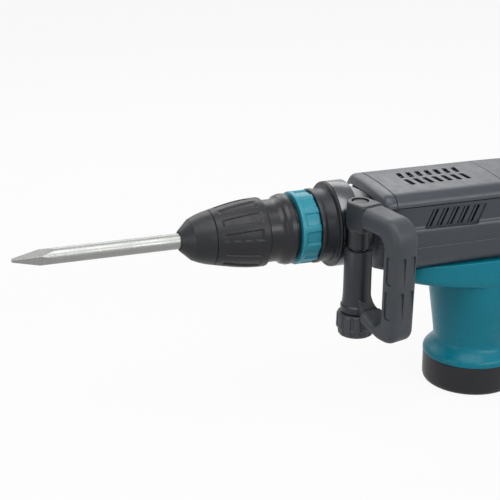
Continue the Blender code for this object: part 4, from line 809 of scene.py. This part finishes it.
def clamp_band():
    """Steel strap round the barrel, its two ears closed on the clamp bolt."""
    tip = BOLT_AT[1] - EAR_R - 0.5
    slit = (SPLIT_Z + 0.1, SPLIT_Z - 0.1)
    ears = (slit[0] + 0.7, slit[1] - 0.7)

    def below(radius, z):
        return 180 + math.degrees(math.asin(-z / radius))

    loop = [(tip, ears[0]), (tip, slit[0])]
    start, end = below(BAND_INNER_R, slit[0]), -360 + below(BAND_INNER_R, slit[1])
    loop += arc((0, 0), BAND_INNER_R, start, end, 110)
    loop += [(tip, slit[1]), (tip, ears[1])]
    start, end = -360 + below(BAND_OUTER_R, ears[1]), below(BAND_OUTER_R, ears[0])
    loop += arc((0, 0), BAND_OUTER_R, start, end, 110)
    across = Matrix(((0, 0, 1, BOLT_AT[0]), (1, 0, 0, 0), (0, 1, 0, 0), (0, 0, 0, 1)))
    half = (BAND_END_X - BAND_X) / 2
    mesh = prism("band", loop, half, across)
    plan = [(half, 70), (-half, 70), (-half, -46), (-EAR_R, -56)]
    plan += arc((0, BOLT_AT[1]), EAR_R, 180, 360, 24) + [(EAR_R, -56), (half, -46)]
    tool = prism("plan", plan, 90, Matrix.Translation((BOLT_AT[0], 0, 0)))
    mesh = joined(mesh, "INTERSECT", tool)
    mesh = joined(mesh, "DIFFERENCE", round_hole(BOLT_R + 0.4, -60, 60, BOLT_AT))
    mesh = bevelled(mesh, 0.45, 2, 50)
    finished("clamp_band_fine", mesh, "polished_steel", "clamp_band", "clamp_band", lift=AXIS_Z, sharp=40)


def grip_rows():
    """Matching points of the grip's outer and inner outline, round the open D from the top arm."""
    outer = spread((22, 47.2), (57.3, 45), 8) + arc((57.3, 19), 26, 90, 0, 16)[1:]
    outer += spread((83.3, 19), (80.3, -85), 30)[1:] + arc((66.3, -85), 14, 0, -90, 10)[1:]
    outer += spread((66.3, -99), (56, -99), 3)[1:] + spread((56, -99), (24.5, -90.6), 8)[1:]
    inner = spread((22, 22), (44, 22), 8) + arc((44, 10), 12, 90, 0, 16)[1:]
    inner += spread((56, 10), (56, -71), 30)[1:] + arc((44, -71), 12, 0, -90, 10)[1:]
    inner += spread((44, -83), (40, -81.6), 3)[1:] + spread((40, -81.6), (24.5, -75), 8)[1:]
    return list(zip(outer, inner))


def rounded_section(half_depth, half_width, corner, steps=6):
    """Rounded rectangle, as shares from the inner to the outer outline and across."""
    points = []
    for turn, (u, v) in enumerate(((1, 1), (-1, 1), (-1, -1), (1, -1))):
        middle = (u * (half_depth - corner), v * (half_width - corner))
        points += arc(middle, corner, 90 * turn, 90 * turn + 90, steps)
    return points


def slot_outline(half_w, reach):
    corners = [(-half_w, -SLOT_HALF_LEN), (half_w, -SLOT_HALF_LEN), (half_w, SLOT_HALF_LEN)]
    return softened(corners + [(-half_w, SLOT_HALF_LEN)], reach, 8, closed=True)


def side_grip():
    """Soft grip: a rounded section swept round the open D, with sunk finger slots."""
    look = "handle_rubber"
    rings = []
    rows = grip_rows()
    for i, (out, inn) in enumerate(rows):
        out, inn = Vector(out), Vector(inn)
        depth = (out - inn).length / 2
        toward = (out - inn).normalized()
        middle = (out + inn) / 2
        trim = 1.0 if i in (0, len(rows) - 1) else 0.0
        ring = []
        for u, v in rounded_section(depth - trim, GRIP_HALF_W - trim, GRIP_EDGE - trim):
            point = middle + toward * u
            ring.append((point.x, v, point.y))
        rings.append(ring)
    for end, near in ((0, 1), (-1, -2)):
        full = [Vector(point) for point in rings[near]]
        start = [Vector(point) for point in rings[end]]
        middle = sum(start, Vector()) / len(start)
        step = (sum(full, Vector()) / len(full) - middle).normalized()
        collar = []
        for point in start:
            across = point - middle
            collar.append(tuple(middle + across * (1 + 1.0 / across.length) + step))
        rings.insert(1 if end == 0 else len(rings) - 1, collar)
    side = slot_outline(5.2, 5.0)
    slots = [repeated(prism("slot", side, 2.0, FLAT_XZ), look, 2, (70.5, y, SLOT_Z), (-0.9, 0, -SLOT_PITCH))
             for y in (-17.1, 17.1)]
    face = slot_outline(3.8, 3.6)
    turn = spun(-1.6, "Y") @ (spun(90, "Y") @ spun(90, "Z"))
    slots += [repeated(prism("slot", face, 2.0, turn), look, 2, (83.3, y, SLOT_Z), (-1.2, 0, -SLOT_PITCH))
              for y in (-7.2, 7.2)]
    mesh = joined(lofted("grip", rings), "DIFFERENCE", *slots)
    mesh.transform(STAND)
    finished("side_grip_fine", mesh, look, "side_handle", "side_handle_grip", sharp=40)


def side_frame():
    """Top block with the bolt's recess, boss, lower bar and its corner web."""
    outline = arc((0, 0), 15, 90, 270, 24) + [(21.7, -15), (21.7, 15)]
    block = bevelled(prism("block", outline, 16, Matrix.Translation((0, 0, 32.5))), 2.6, 4)
    boss = upright_mesh("boss", [(-7, 0), (-7, 11.6), (-6.6, 12), (10, 12), (14, 12.6), (16.4, 14.2),
                                 (18, 14.6), (18, 0)], steps=64)
    bar = [(-84, 0), (-84, 17.2), (-83.2, 18.2), (-76, 18.6), (-75.2, 17.9), (-74.6, 17.2), (-70, 16.6)]
    bar += [(-62, 16.1), (-50, 16), (-10.4, 16), (-9.5, 15.6), (-9, 14.6), (-9, 0)]
    bar = upright_mesh("bar", bar, steps=96)
    start, bend, end = Vector((12, -60)), Vector((16.5, -74)), Vector((26, -75.6))
    curve = [tuple(start.lerp(bend, k / 12).lerp(bend.lerp(end, k / 12), k / 12)) for k in range(13)]
    web = bevelled(prism("web", curve + [(26, -88), (10, -83)], 10, FLAT_XZ), 2.5, 3)
    hole, recess = round_hole(BOLT_R + GAP, -90, 90), round_hole(10.1, 40.2, 90)
    high = joined(joined(block, "UNION", boss), "DIFFERENCE", hole, recess)
    low = joined(joined(bar, "UNION", web), "DIFFERENCE", round_hole(BOLT_R + GAP, -95, 0))
    mesh = merged("frame", high, low)
    mesh.transform(STAND)
    finished("side_frame_fine", mesh, "handle_plastic", "side_handle", "side_handle_frame", sharp=30)


def clamp_bolt():
    """Hexagon bolt that holds the handle and its knob to the band's ears."""
    shank = [(-107.5, 0), (-107.5, BOLT_R - 0.8), (-106.5, BOLT_R), (41, BOLT_R), (41, 0)]
    head = prism("head", arc((0, 0), 9.2, 0, 300, 5), 3.4, Matrix.Translation((0, 0, 44.0)))
    mesh = joined(bevelled(head, 0.8, 2), "UNION", upright_mesh("shank", shank, steps=32))
    mesh.transform(STAND)
    finished("clamp_bolt_fine", mesh, "dark_steel", "side_handle", "clamp_bolt", sharp=30)


def clamp_knob():
    """Two-tier knob with finger flutes."""
    look = "knob_plastic"
    tier = [(0, 17.5), (0, 20.2), (0.7, 21.5), (2, 22.3)] + spread((2.6, 22.5), (16.6, 22.8), 14)
    tier += [(17.6, 22.6), (18.1, 22.0), (18.5, 20.9)] + spread((19, 20.9), (25.6, 20.2), 8)
    tier += [(26.8, 19.4), (27.4, 18.2), (27.5, 16.5), (27.5, 10), (26.3, 9.4), (26.3, 0)]
    mesh = turned_mesh("knob", tier, None, 240, [(24, 0), (24, 5.4), (0, 5.4)])
    for depth, start, end, ease in ((1.9, 1.4, 18.2, 1.4), (1.3, 18.6, 27.3, 0.9)):
        mesh = pressed(mesh, look, count=FLUTES, depth=depth, front_share=0.34, rear_share=0.34, edge=0.05,
                       start=start, end=end, ease=ease, phase=0.25)
    mesh.transform(STAND @ Matrix.Translation((0, 0, KNOB_Z)) @ spun(90, "Y"))
    finished("clamp_knob_fine", mesh, look, "clamp_knob", "clamp_knob", slot="handle_plastic", sharp=45)


# Housing


HOOD_SECTION = ((0, 45), (25, 44.4), (43, 43.2), (49, 41.2), (53, 37.6), (55.6, 33.4), (56.4, 29.3))
SIDE_SECTION = ((56.2, 28), (56.2, 5.5), (56.8, 3.4), (58.7, 1.4), (59.7, -1.5), (60, -5), (60, -10.5),
                (59.7, -12.8), (58.9, -14), (58.8, -19.6), (58.2, -19.9), (58.2, -20.7), (58.8, -21),
                (58.3, -30), (56.8, -38), (53.4, -45), (48.5, -49.5), (20, -49.5))
SIDE_INNER = ((53.2, 28), (53.2, 2), (56.4, -4), (56.4, -20), (55, -32), (50.5, -43), (46, -46.5),
              (0.3, -46.5))


def fine_section(points, reach, longest=3.5):
    """The section with its corners rounded and its long sides divided."""
    return densified(softened(points, reach, 4), longest)


def mirrored(points):
    return [(-y, z) for y, z in reversed(points)]


def ring_at(x, points, wide=1.0, tall=1.0):
    """A section's points at a station, drawn in by the given shares."""
    return [(x, y * wide, z * tall) for y, z in points]


def motor_way():
    """A tool for the opening over the motor and the gear."""
    return boxed("way", (-93.8, -MOTOR_BORE_R, -110), (MOTOR_BORE_R, MOTOR_BORE_R, -44))


def top_cover():
    """Hood with a rounded front, a rim groove and two rows of vents."""
    look = "charcoal_plastic"
    half = fine_section(HOOD_SECTION, 4)
    points = mirrored(half[1:]) + half
    low = points[0][1]
    rings = []
    for share in (0, 0.02, 0.07, 0.15, 0.26, 0.4, 0.6, 0.8, 1):
        drop = 12 * (1 - (1 - (1 - share) ** 3) ** (1 / 3))
        lip = [(y, max(z - drop, low - 0.6 * drop / 12)) for y, z in points]
        rings.append(ring_at(HOOD_FRONT_X + 11 * share, lip, 0.955 + 0.045 * share**0.6))
    for step, sink in ((14, 0), (14.4, 0.8), (15.4, 0.8), (15.8, 0)):
        rings.append(ring_at(HOOD_FRONT_X + step, points, 1 - sink / 56, 1 - sink / 45))
    rear = SEAM_X - GAP
    length = rear - HOOD_FRONT_X - 16
    rings += [ring_at(HOOD_FRONT_X + 16 + length * k / 12, points) for k in range(1, 12)]
    rings += [ring_at(rear - 0.6, points), ring_at(rear, points, 0.991, 0.989)]
    mesh = walled(lofted("hood", rings, front=False, rear=False, ring=False), WALL)
    slot = softened([(0, 3), (6.2, 3), (8.8, 22.5), (2.6, 22.5)], 1.6, 4, closed=True)
    vents = []
    for sign in (-1, 1):
        vent = prism("vent", [(x, sign * y) for x, y in slot], 20, Matrix())
        vents.append(repeated(vent, look, TOP_VENTS, (TOP_VENT_X, 0, 40), (TOP_VENT_PITCH, 0, 0)))
    mesh = joined(mesh, "DIFFERENCE", *vents)
    finished("top_cover_fine", mesh, look, "housing", "top_cover", lift=AXIS_Z)


def side_cover(name, side):
    """Side shell drawn in to the barrel at its nose, with a ridge, a line and a slanted vent panel."""
    look = "charcoal_plastic"
    outer = fine_section(SIDE_SECTION + ((0.3, -49.5),), 1.2, 4)
    inner = fine_section(SIDE_INNER, 2, 6)
    loop = [(side * y, z) for y, z in outer + inner[::-1]]
    top = outer[0][1]
    nose = []
    for k, (y, z) in enumerate(loop):
        angle = math.atan2(z, y)
        radius = 35.6 if k < len(outer) else 35.6 - WALL
        nose.append((COVER_FRONT_X, radius * math.cos(angle), radius * math.sin(angle)))
    rings = [nose]
    for share in (0.03, 0.06, 0.1, 0.15, 0.21, 0.29, 0.4, 0.55, 0.75, 1):
        rings.append(ring_at(COVER_FRONT_X + 38 * share, loop, 1 - 0.4 * (1 - share) ** 3.8))
    front = COVER_FRONT_X + 38
    length = SEAM_X - GAP - 0.6 - front
    rings += [ring_at(front + length * k / 10, loop) for k in range(1, 11)]
    rings.append(ring_at(SEAM_X - GAP, loop, 0.992, 0.992))
    mesh = lofted(name, [[(x, y, min(z, top)) for x, y, z in ring] for ring in rings])
    panel = softened([(-103.5, 1.2), (-92.5, 25.2), (-22.5, 24.2), (-33.5, 0.2)], 3, 5, closed=True)
    tray = lofted("tray", [[(x, side * y, z) for x, z in panel] for y in (75, PANEL_Y)])
    slot = softened([(0, 0), (7.4, 0), (16.6, 20.5), (9.2, 20.5)], 1.2, 3, closed=True)
    blade = [(1.6, -2), (4.4, -2), (15.4, 22.5), (12.6, 22.5)]
    vents, blades = (
        repeated(prism("vent", outline, depth, FLAT_XZ), look, SIDE_VENTS,
                 (SIDE_VENT_AT[0], side * y, SIDE_VENT_AT[1]), (SIDE_VENT_PITCH, 0, -0.1))
        for outline, depth, y in ((slot, 14, 62), (blade, 1.2, 52)))
    mesh = merged(name, joined(mesh, "DIFFERENCE", tray, vents, motor_way()), blades)
    finished(name + "_fine", mesh, look, "housing", name, lift=AXIS_Z, sharp=30)


def rear_cover():
    """Tail of the housing, rounded off behind, opened for the dial and the lamps."""
    right = fine_section(HOOD_SECTION, 4) + fine_section(SIDE_SECTION, 1.2, 4) + [(0, -49.5)]
    points = mirrored(right[1:-1]) + right
    front = SEAM_X + GAP
    rings = [ring_at(front, points, 0.992, 0.99), ring_at(front + 0.6, points)]
    length = REAR_COVER_END_X - SEAM_X - GAP
    for k in range(1, 25):
        share = k / 24
        bend = max(0.0, (share - 0.45) / 0.55)
        round_off = 1 - (1 - bend**2.6) ** (1 / 2.6) if bend < 1 else 1.0
        wide = 1 - 0.3 * round_off
        tall = 1 - 0.02 * share - 0.2 * round_off
        rings.append(ring_at(front + length * share, points, wide, tall))
    mesh = walled(lofted("rear", rings, front=False), WALL)
    slot = boxed("slot", (45.6, -103, 7.6), (74.4, -29, 16.4))
    lamps = [across_prism("hole", arc((x, LAMP_Z), LAMP_R + GAP, 0, 350, 35), 14, -60) for x in LAMP_X]
    mesh = joined(mesh, "DIFFERENCE", slot, motor_way(), *lamps)
    finished("rear_cover_fine", mesh, "charcoal_plastic", "housing", "rear_cover", lift=AXIS_Z, sharp=30)


COLUMN = ((0, 1.0), (0.004, 1.008), (0.033, 1.008), (0.055, 0.995), (0.077, 0.963), (0.1, 0.92),
          (0.121, 0.884), (0.143, 0.85), (0.165, 0.824), (0.187, 0.81), (0.208, 0.806), (0.26, 0.815),
          (0.472, 0.872), (0.736, 0.945), (1, 0.955))
FAIRING = ((0, 0.407, 0.337, 0.509), (0.047, 0.678, 0.165, 0.545), (0.104, 0.83, 0.03, 0.582),
           (0.295, 0.958, 0, 0.73), (0.606, 1, 0, 0.926), (0.845, 0.966, 0, 1), (0.948, 0.78, 0, 0.988),
           (1, 0.593, 0, 0.95))


def column_path(grow=0):
    """Heights and radii of the motor's column, from shares of its height and of the foot's radius."""
    low, high = COLUMN_Z
    return [(low + (high - low) * share, FOOT_R * wide + grow) for share, wide in COLUMN]


def fairing_ring(along, wide, top, bottom, shrink=1.0):
    """Section of the fairing from shares of its length, half width and depth."""
    x = FAIRING_X[0] + (FAIRING_X[1] - FAIRING_X[0]) * along
    half = FAIRING_HALF_W * wide * shrink
    high = FAIRING_TOP - FAIRING_DEPTH * top
    low = FAIRING_TOP - FAIRING_DEPTH * bottom
    middle = (high + low) / 2
    high = middle + (high - middle) * shrink
    low = middle + (low - middle) * shrink
    rim = 1.2
    edge = min(9.0, 0.45 * (high - low))
    points = arc((half - rim, high - rim), rim, 90, 0, 3) + arc((half - edge, low + edge), edge, 0, -90, 7)
    points += arc((edge - half, low + edge), edge, -90, -180, 7)
    points += arc((rim - half, high - rim), rim, 180, 90, 3)
    return [(x, y, z) for y, z in points]


def motor_housing():
    """Teal column with a flared foot, run into the fairing under the covers."""
    low, high = COLUMN_Z
    path = [(low, 0)] + densified(softened(column_path(), 4, 4), 4) + [(high, 0)]
    column = upright_mesh("column", path, steps=128)
    rows = smooth_rows(FAIRING, 44)
    first, last = rows[0], rows[-1]
    rings = [fairing_ring(*first, shrink=0.72), fairing_ring(first[0] + 0.0015, *first[1:], shrink=0.9)]
    rings += [fairing_ring(*row) for row in rows[1:-1]]
    rings += [fairing_ring(last[0] - 0.004, *last[1:], shrink=0.97), fairing_ring(*last, shrink=0.9)]
    mesh = joined(column, "UNION", lofted("fairing", rings))
    bore = upright_mesh("bore", [(-60, 0), (-60, MOTOR_BORE_R), (236, MOTOR_BORE_R), (236, 0)], steps=96)
    pit = arc((GEAR_PIT_X, 0), GEAR_PIT_R, 90, 270, 48) + [(0, -GEAR_PIT_R), (0, GEAR_PIT_R)]
    pit = prism("pit", pit, 60, Matrix.Translation((0, 0, GEAR_PIT_FLOOR + 60)))
    mesh = joined(mesh, "DIFFERENCE", bore, pit)
    finished("motor_housing_fine", mesh, "teal_plastic", "housing", "motor_housing", sharp=30)


def foot_cap():
    """Hollow cap under the motor, its lower edge rounded."""
    path = [(4, 0), (4, 52.9), (7, 55.9), (FOOT_SEAM, 55.9), (FOOT_SEAM, 58.6), (FOOT_SEAM - 0.8, FOOT_R)]
    path += spread((35, FOOT_R), (10, 59.1), 4)
    path += [(6.5, 58.9), (4, 58.3), (2, 57), (0.6, 55), (0, 53), (0, 0)]
    mesh = upright_mesh("foot", path, steps=160)
    finished("foot_cap_fine", mesh, "black_plastic", "housing", "foot_cap", sharp=30)


# Rear handle and controls


def rear_outline():
    """Outline of the rear handle from the side: upper arm, grip and lower arm, run on into the housing."""
    loop = [(60, 260)] + arc((160, 226), 34, 90, 0, 20) + arc((157, 104), 30, 0, -90, 18)
    loop += [(40, 66), (40, 96)] + arc((137, 118), 14, -90, 0, 12) + arc((144, 194), 14, 0, 90, 12)
    return loop + [(60, 198.7)]


def drawn_in(outline, inset):
    """The outline, clockwise, moved inwards."""
    out = []
    for i, point in enumerate(outline):
        here = Vector(point)
        before = (here - Vector(outline[i - 1])).normalized()
        after = (Vector(outline[(i + 1) % len(outline)]) - here).normalized()
        first, second = Vector((before.y, -before.x)), Vector((after.y, -after.x))
        middle = (first + second).normalized()
        out.append(tuple(here + middle * inset / max(middle.dot(first), 0.4)))
    return out


def rear_form(name, stations):
    """The rear handle's form through (offset from the middle, inset) stations."""
    outline = rear_outline()
    return lofted(name, [[(x, y, z) for x, z in drawn_in(outline, inset)] for y, inset in stations])


REAR_RIM = [(9 + 9 * math.sin(math.pi * k / 16), 9 - 9 * math.cos(math.pi * k / 16)) for k in range(9)]


def pad_zone(grow):
    """A tool round the soft pad's place."""
    low, high = PAD_Z[0] - grow, PAD_Z[1] + grow
    outline = [(186 - grow, high), (220, high), (220, low), (179 - grow, low)]
    return across_prism("zone", softened(outline, 3, 4, closed=True), 40)


def rear_handle(name, side):
    """Half of the rear handle, opened for the trigger, button, pad and cord inlet."""
    stations = [(side * y, inset) for y, inset in [(0.15, 0.45), (0.6, 0)] + REAR_RIM]
    low, high = COLUMN_Z
    tools = [boxed("front", (0, -40, 150), (80.6, 40, 300)),
             upright_mesh("saddle", [(low, 0)] + column_path(0.6) + [(high, 0)], steps=128),
             boxed("pocket", (140, -TRIGGER_HALF_W - 0.6, 158), (181.6, TRIGGER_HALF_W + 0.6, 210.7)),
             pad_zone(GAP), round_hole(INLET_R + GAP, 40, 84.3, (INLET_X, 0))]
    if side < 0:
        tools.append(across_prism("button", arc(BUTTON_AT, 4.9, 0, 350, 35), 20, -28))
    mesh = joined(rear_form(name, stations), "DIFFERENCE", *tools)
    finished(name + "_fine", mesh, "charcoal_plastic", "housing", name, sharp=30)


def rear_grip():
    """Soft pad along the back of the grip with shallow cross grooves."""
    look = "handle_rubber"
    stations = [(-y, inset) for y, inset in reversed(REAR_RIM)] + REAR_RIM
    mesh = joined(rear_form("pad", stations), "INTERSECT", pad_zone(0))
    groove = across_prism("groove", arc((0, 0), 1.7, 0, 345, 23), 30)
    grooves = repeated(groove, look, 10, (193.6, 0, 206), (-0.51, 0, -8.9))
    mesh = joined(mesh, "DIFFERENCE", grooves)
    finished("rear_grip_fine", mesh, look, "housing", "rear_grip", sharp=30)


def across_mesh(name, outer, at, steps=48):
    """A mesh turned about a line across the tool; stations are places along Y."""
    mesh = turned_mesh(name, outer, None, steps)
    mesh.transform(Matrix.Translation((at[0], 0, at[1])) @ spun(90, "Z"))
    return mesh


def controls():
    """Trigger, lock button, speed dial, lamps and the cord inlet."""
    look = "black_plastic"
    outline = [(-7, 4.2), (4, 4.2), (6, -8), (3, -39.9), (-9, -42), (-16, -34), (-15, -18), (-10, -8)]
    stand = Matrix.Translation((TRIGGER_AT[0], 0, TRIGGER_AT[1])) @ FLAT_XZ
    mesh = prism("trigger", softened(outline, 4, 6, closed=True), TRIGGER_HALF_W, stand)
    finished("switch_trigger_fine", bevelled(mesh, 1.6, 4, 60), look, "switch_trigger", "switch_trigger")
    face = [(-21.4, 0), (-21.5, 1.6), (-21.9, 2.7), (-22, 3.3), (-21.8, 4), (-21.2, 4.5)]
    mesh = across_mesh("button", face + [(-12, 4.5), (-12, 0)], BUTTON_AT)
    finished("lock_button_fine", mesh, look, "lock_button", "lock_button")
    rim = [(234, 0), (234, 12.6), (234.3, 13.4), (235, 13.9)] + spread((235.3, DIAL_R), (240.7, DIAL_R), 8)
    rim += [(241, 13.9), (241.7, 13.4), (242, 12.6), (242, 0)]
    mesh = pressed(turned_mesh("dial", rim, None, 240), look, count=30, depth=0.8, front_share=0.5,
                   rear_share=0.5, edge=0.12, start=234.2, end=241.8, ease=0.8, phase=0.0)
    mesh.transform(Matrix.Translation((*DIAL_AT, 0)) @ UPRIGHT)
    finished("speed_dial_fine", mesh, look, "speed_dial", "speed_dial", sharp=45)
    for name, glass in (("power_lamp", "green_lens"), ("service_lamp", "red_lens")):
        low, high = (Vector(corner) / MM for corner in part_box(name))
        dome = [(low.y, 0), (low.y + 0.12, 1.2), (low.y + 0.5, 2.1), (low.y + 1.1, 2.75)]
        dome += [(low.y + 1.6, LAMP_R), (high.y, LAMP_R), (high.y, 0)]
        mesh = across_mesh("lamp", dome, ((low.x + high.x) / 2, (low.z + high.z) / 2))
        finished(name + "_fine", mesh, glass, "housing", name)
    sleeve = [(70, 5.6), (70, 7), (70.3, 7.7), (71, INLET_R), (84, INLET_R)]
    mesh = upright_mesh("inlet", sleeve, [(70.6, 5), (84, 5)], 64)
    mesh.transform(Matrix.Translation((INLET_X, 0, 0)))
    finished("cord_inlet_fine", mesh, "rubber_nose", "housing", "cord_inlet")


# Floor, light and camera


def seen_directly(tree):
    """1 for the rays that show the backdrop, 0 for those that only carry its light."""
    ray = node(tree, "ShaderNodeLightPath").outputs
    seen = maths(tree, "MAXIMUM", ray["Is Camera Ray"], ray["Is Transmission Ray"])
    return maths(tree, "MAXIMUM", seen, ray["Is Glossy Ray"])


def floor():
    """Pale floor that reads white to the camera and keeps the shadow."""
    look, tree, shader = finish_tree("studio_floor", 0.9, 0.0, 0.1)
    tinted(tree, shader, noise(tree, 6), (1, 1, 1), 0.62, 0.66)
    share = maths(tree, "MULTIPLY", seen_directly(tree), 0.92)
    glow = node(tree, "ShaderNodeEmission", (1, 1, 1, 1), 1.0).outputs[0]
    paper_white = node(tree, "ShaderNodeMixShader", share, shader.outputs[0], glow).outputs[0]
    tree.links.new(paper_white, tree.nodes["Material Output"].inputs["Surface"])
    mesh = lofted("floor", [[(-6, -6, 0), (6, -6, 0)], [(-6, 6, 0), (6, 6, 0)]], False, False, False)
    mesh.transform(Matrix.Translation((0, 0, -0.0005)))
    mesh.materials.append(look)
    obj = held("studio_floor", mesh)


def softbox(name, at, aim, size, power):
    lamp = bpy.data.lights.new(name, "AREA")
    lamp.shape = "RECTANGLE"
    lamp.size, lamp.size_y = size
    lamp.energy = power
    obj = held(name, lamp)
    obj.location = at
    obj.rotation_euler = (Vector(aim) - Vector(at)).to_track_quat("-Z", "Y").to_euler()


def studio():
    world = bpy.data.worlds.new("studio")
    bpy.context.scene.world = world
    world.use_nodes = True
    tree = world.node_tree
    sky = tree.nodes["Background"]
    sky.inputs[0].default_value = (1, 1, 1, 1)
    seen = seen_directly(tree)
    tree.links.new(node(tree, "ShaderNodeMapRange", seen, 0, 1, 0.3, 1).outputs[0], sky.inputs[1])
    middle = (-0.2, 0, 0.2)
    softbox("key", (-0.45, -0.5, 1.8), middle, (1.6, 1.2), 22)
    softbox("back_panel", (-0.2, 1.3, 1.15), middle, (2.2, 0.8), 13)
    softbox("front_panel", (0.45, -1.5, 0.95), middle, (1.7, 0.4), 14)
    softbox("left_strip", (-1.9, -0.5, 0.45), (-0.36, 0, 0.226), (0.3, 0.5), 4)
    floor()


def camera():
    lens_data = bpy.data.cameras.new("camera")
    lens_data.sensor_width = 36
    lens_data.lens = CAMERA_LENS
    aim = spun(-CAMERA_TURN, "Z") @ spun(90 - CAMERA_RISE, "X") @ spun(CAMERA_ROLL, "Z")
    obj = held("camera", lens_data)
    obj.matrix_world = Matrix.Translation(CAMERA_TARGET) @ aim @ Matrix.Translation((0, 0, CAMERA_BACK))
    bpy.context.scene.camera = obj


bpy.context.scene.view_settings.view_transform = "Standard"
dress_solids()
bull_point()
nose_cap()
release_cover()
retainer_spring()
guide_sleeve()
change_ring()
barrel()
clamp_band()
side_grip()
side_frame()
clamp_bolt()
clamp_knob()
top_cover()
side_cover("side_cover_left", -1)
side_cover("side_cover_right", 1)
rear_cover()
motor_housing()
foot_cap()
rear_handle("rear_handle_left", -1)
rear_handle("rear_handle_right", 1)
rear_grip()
controls()
studio()
camera()
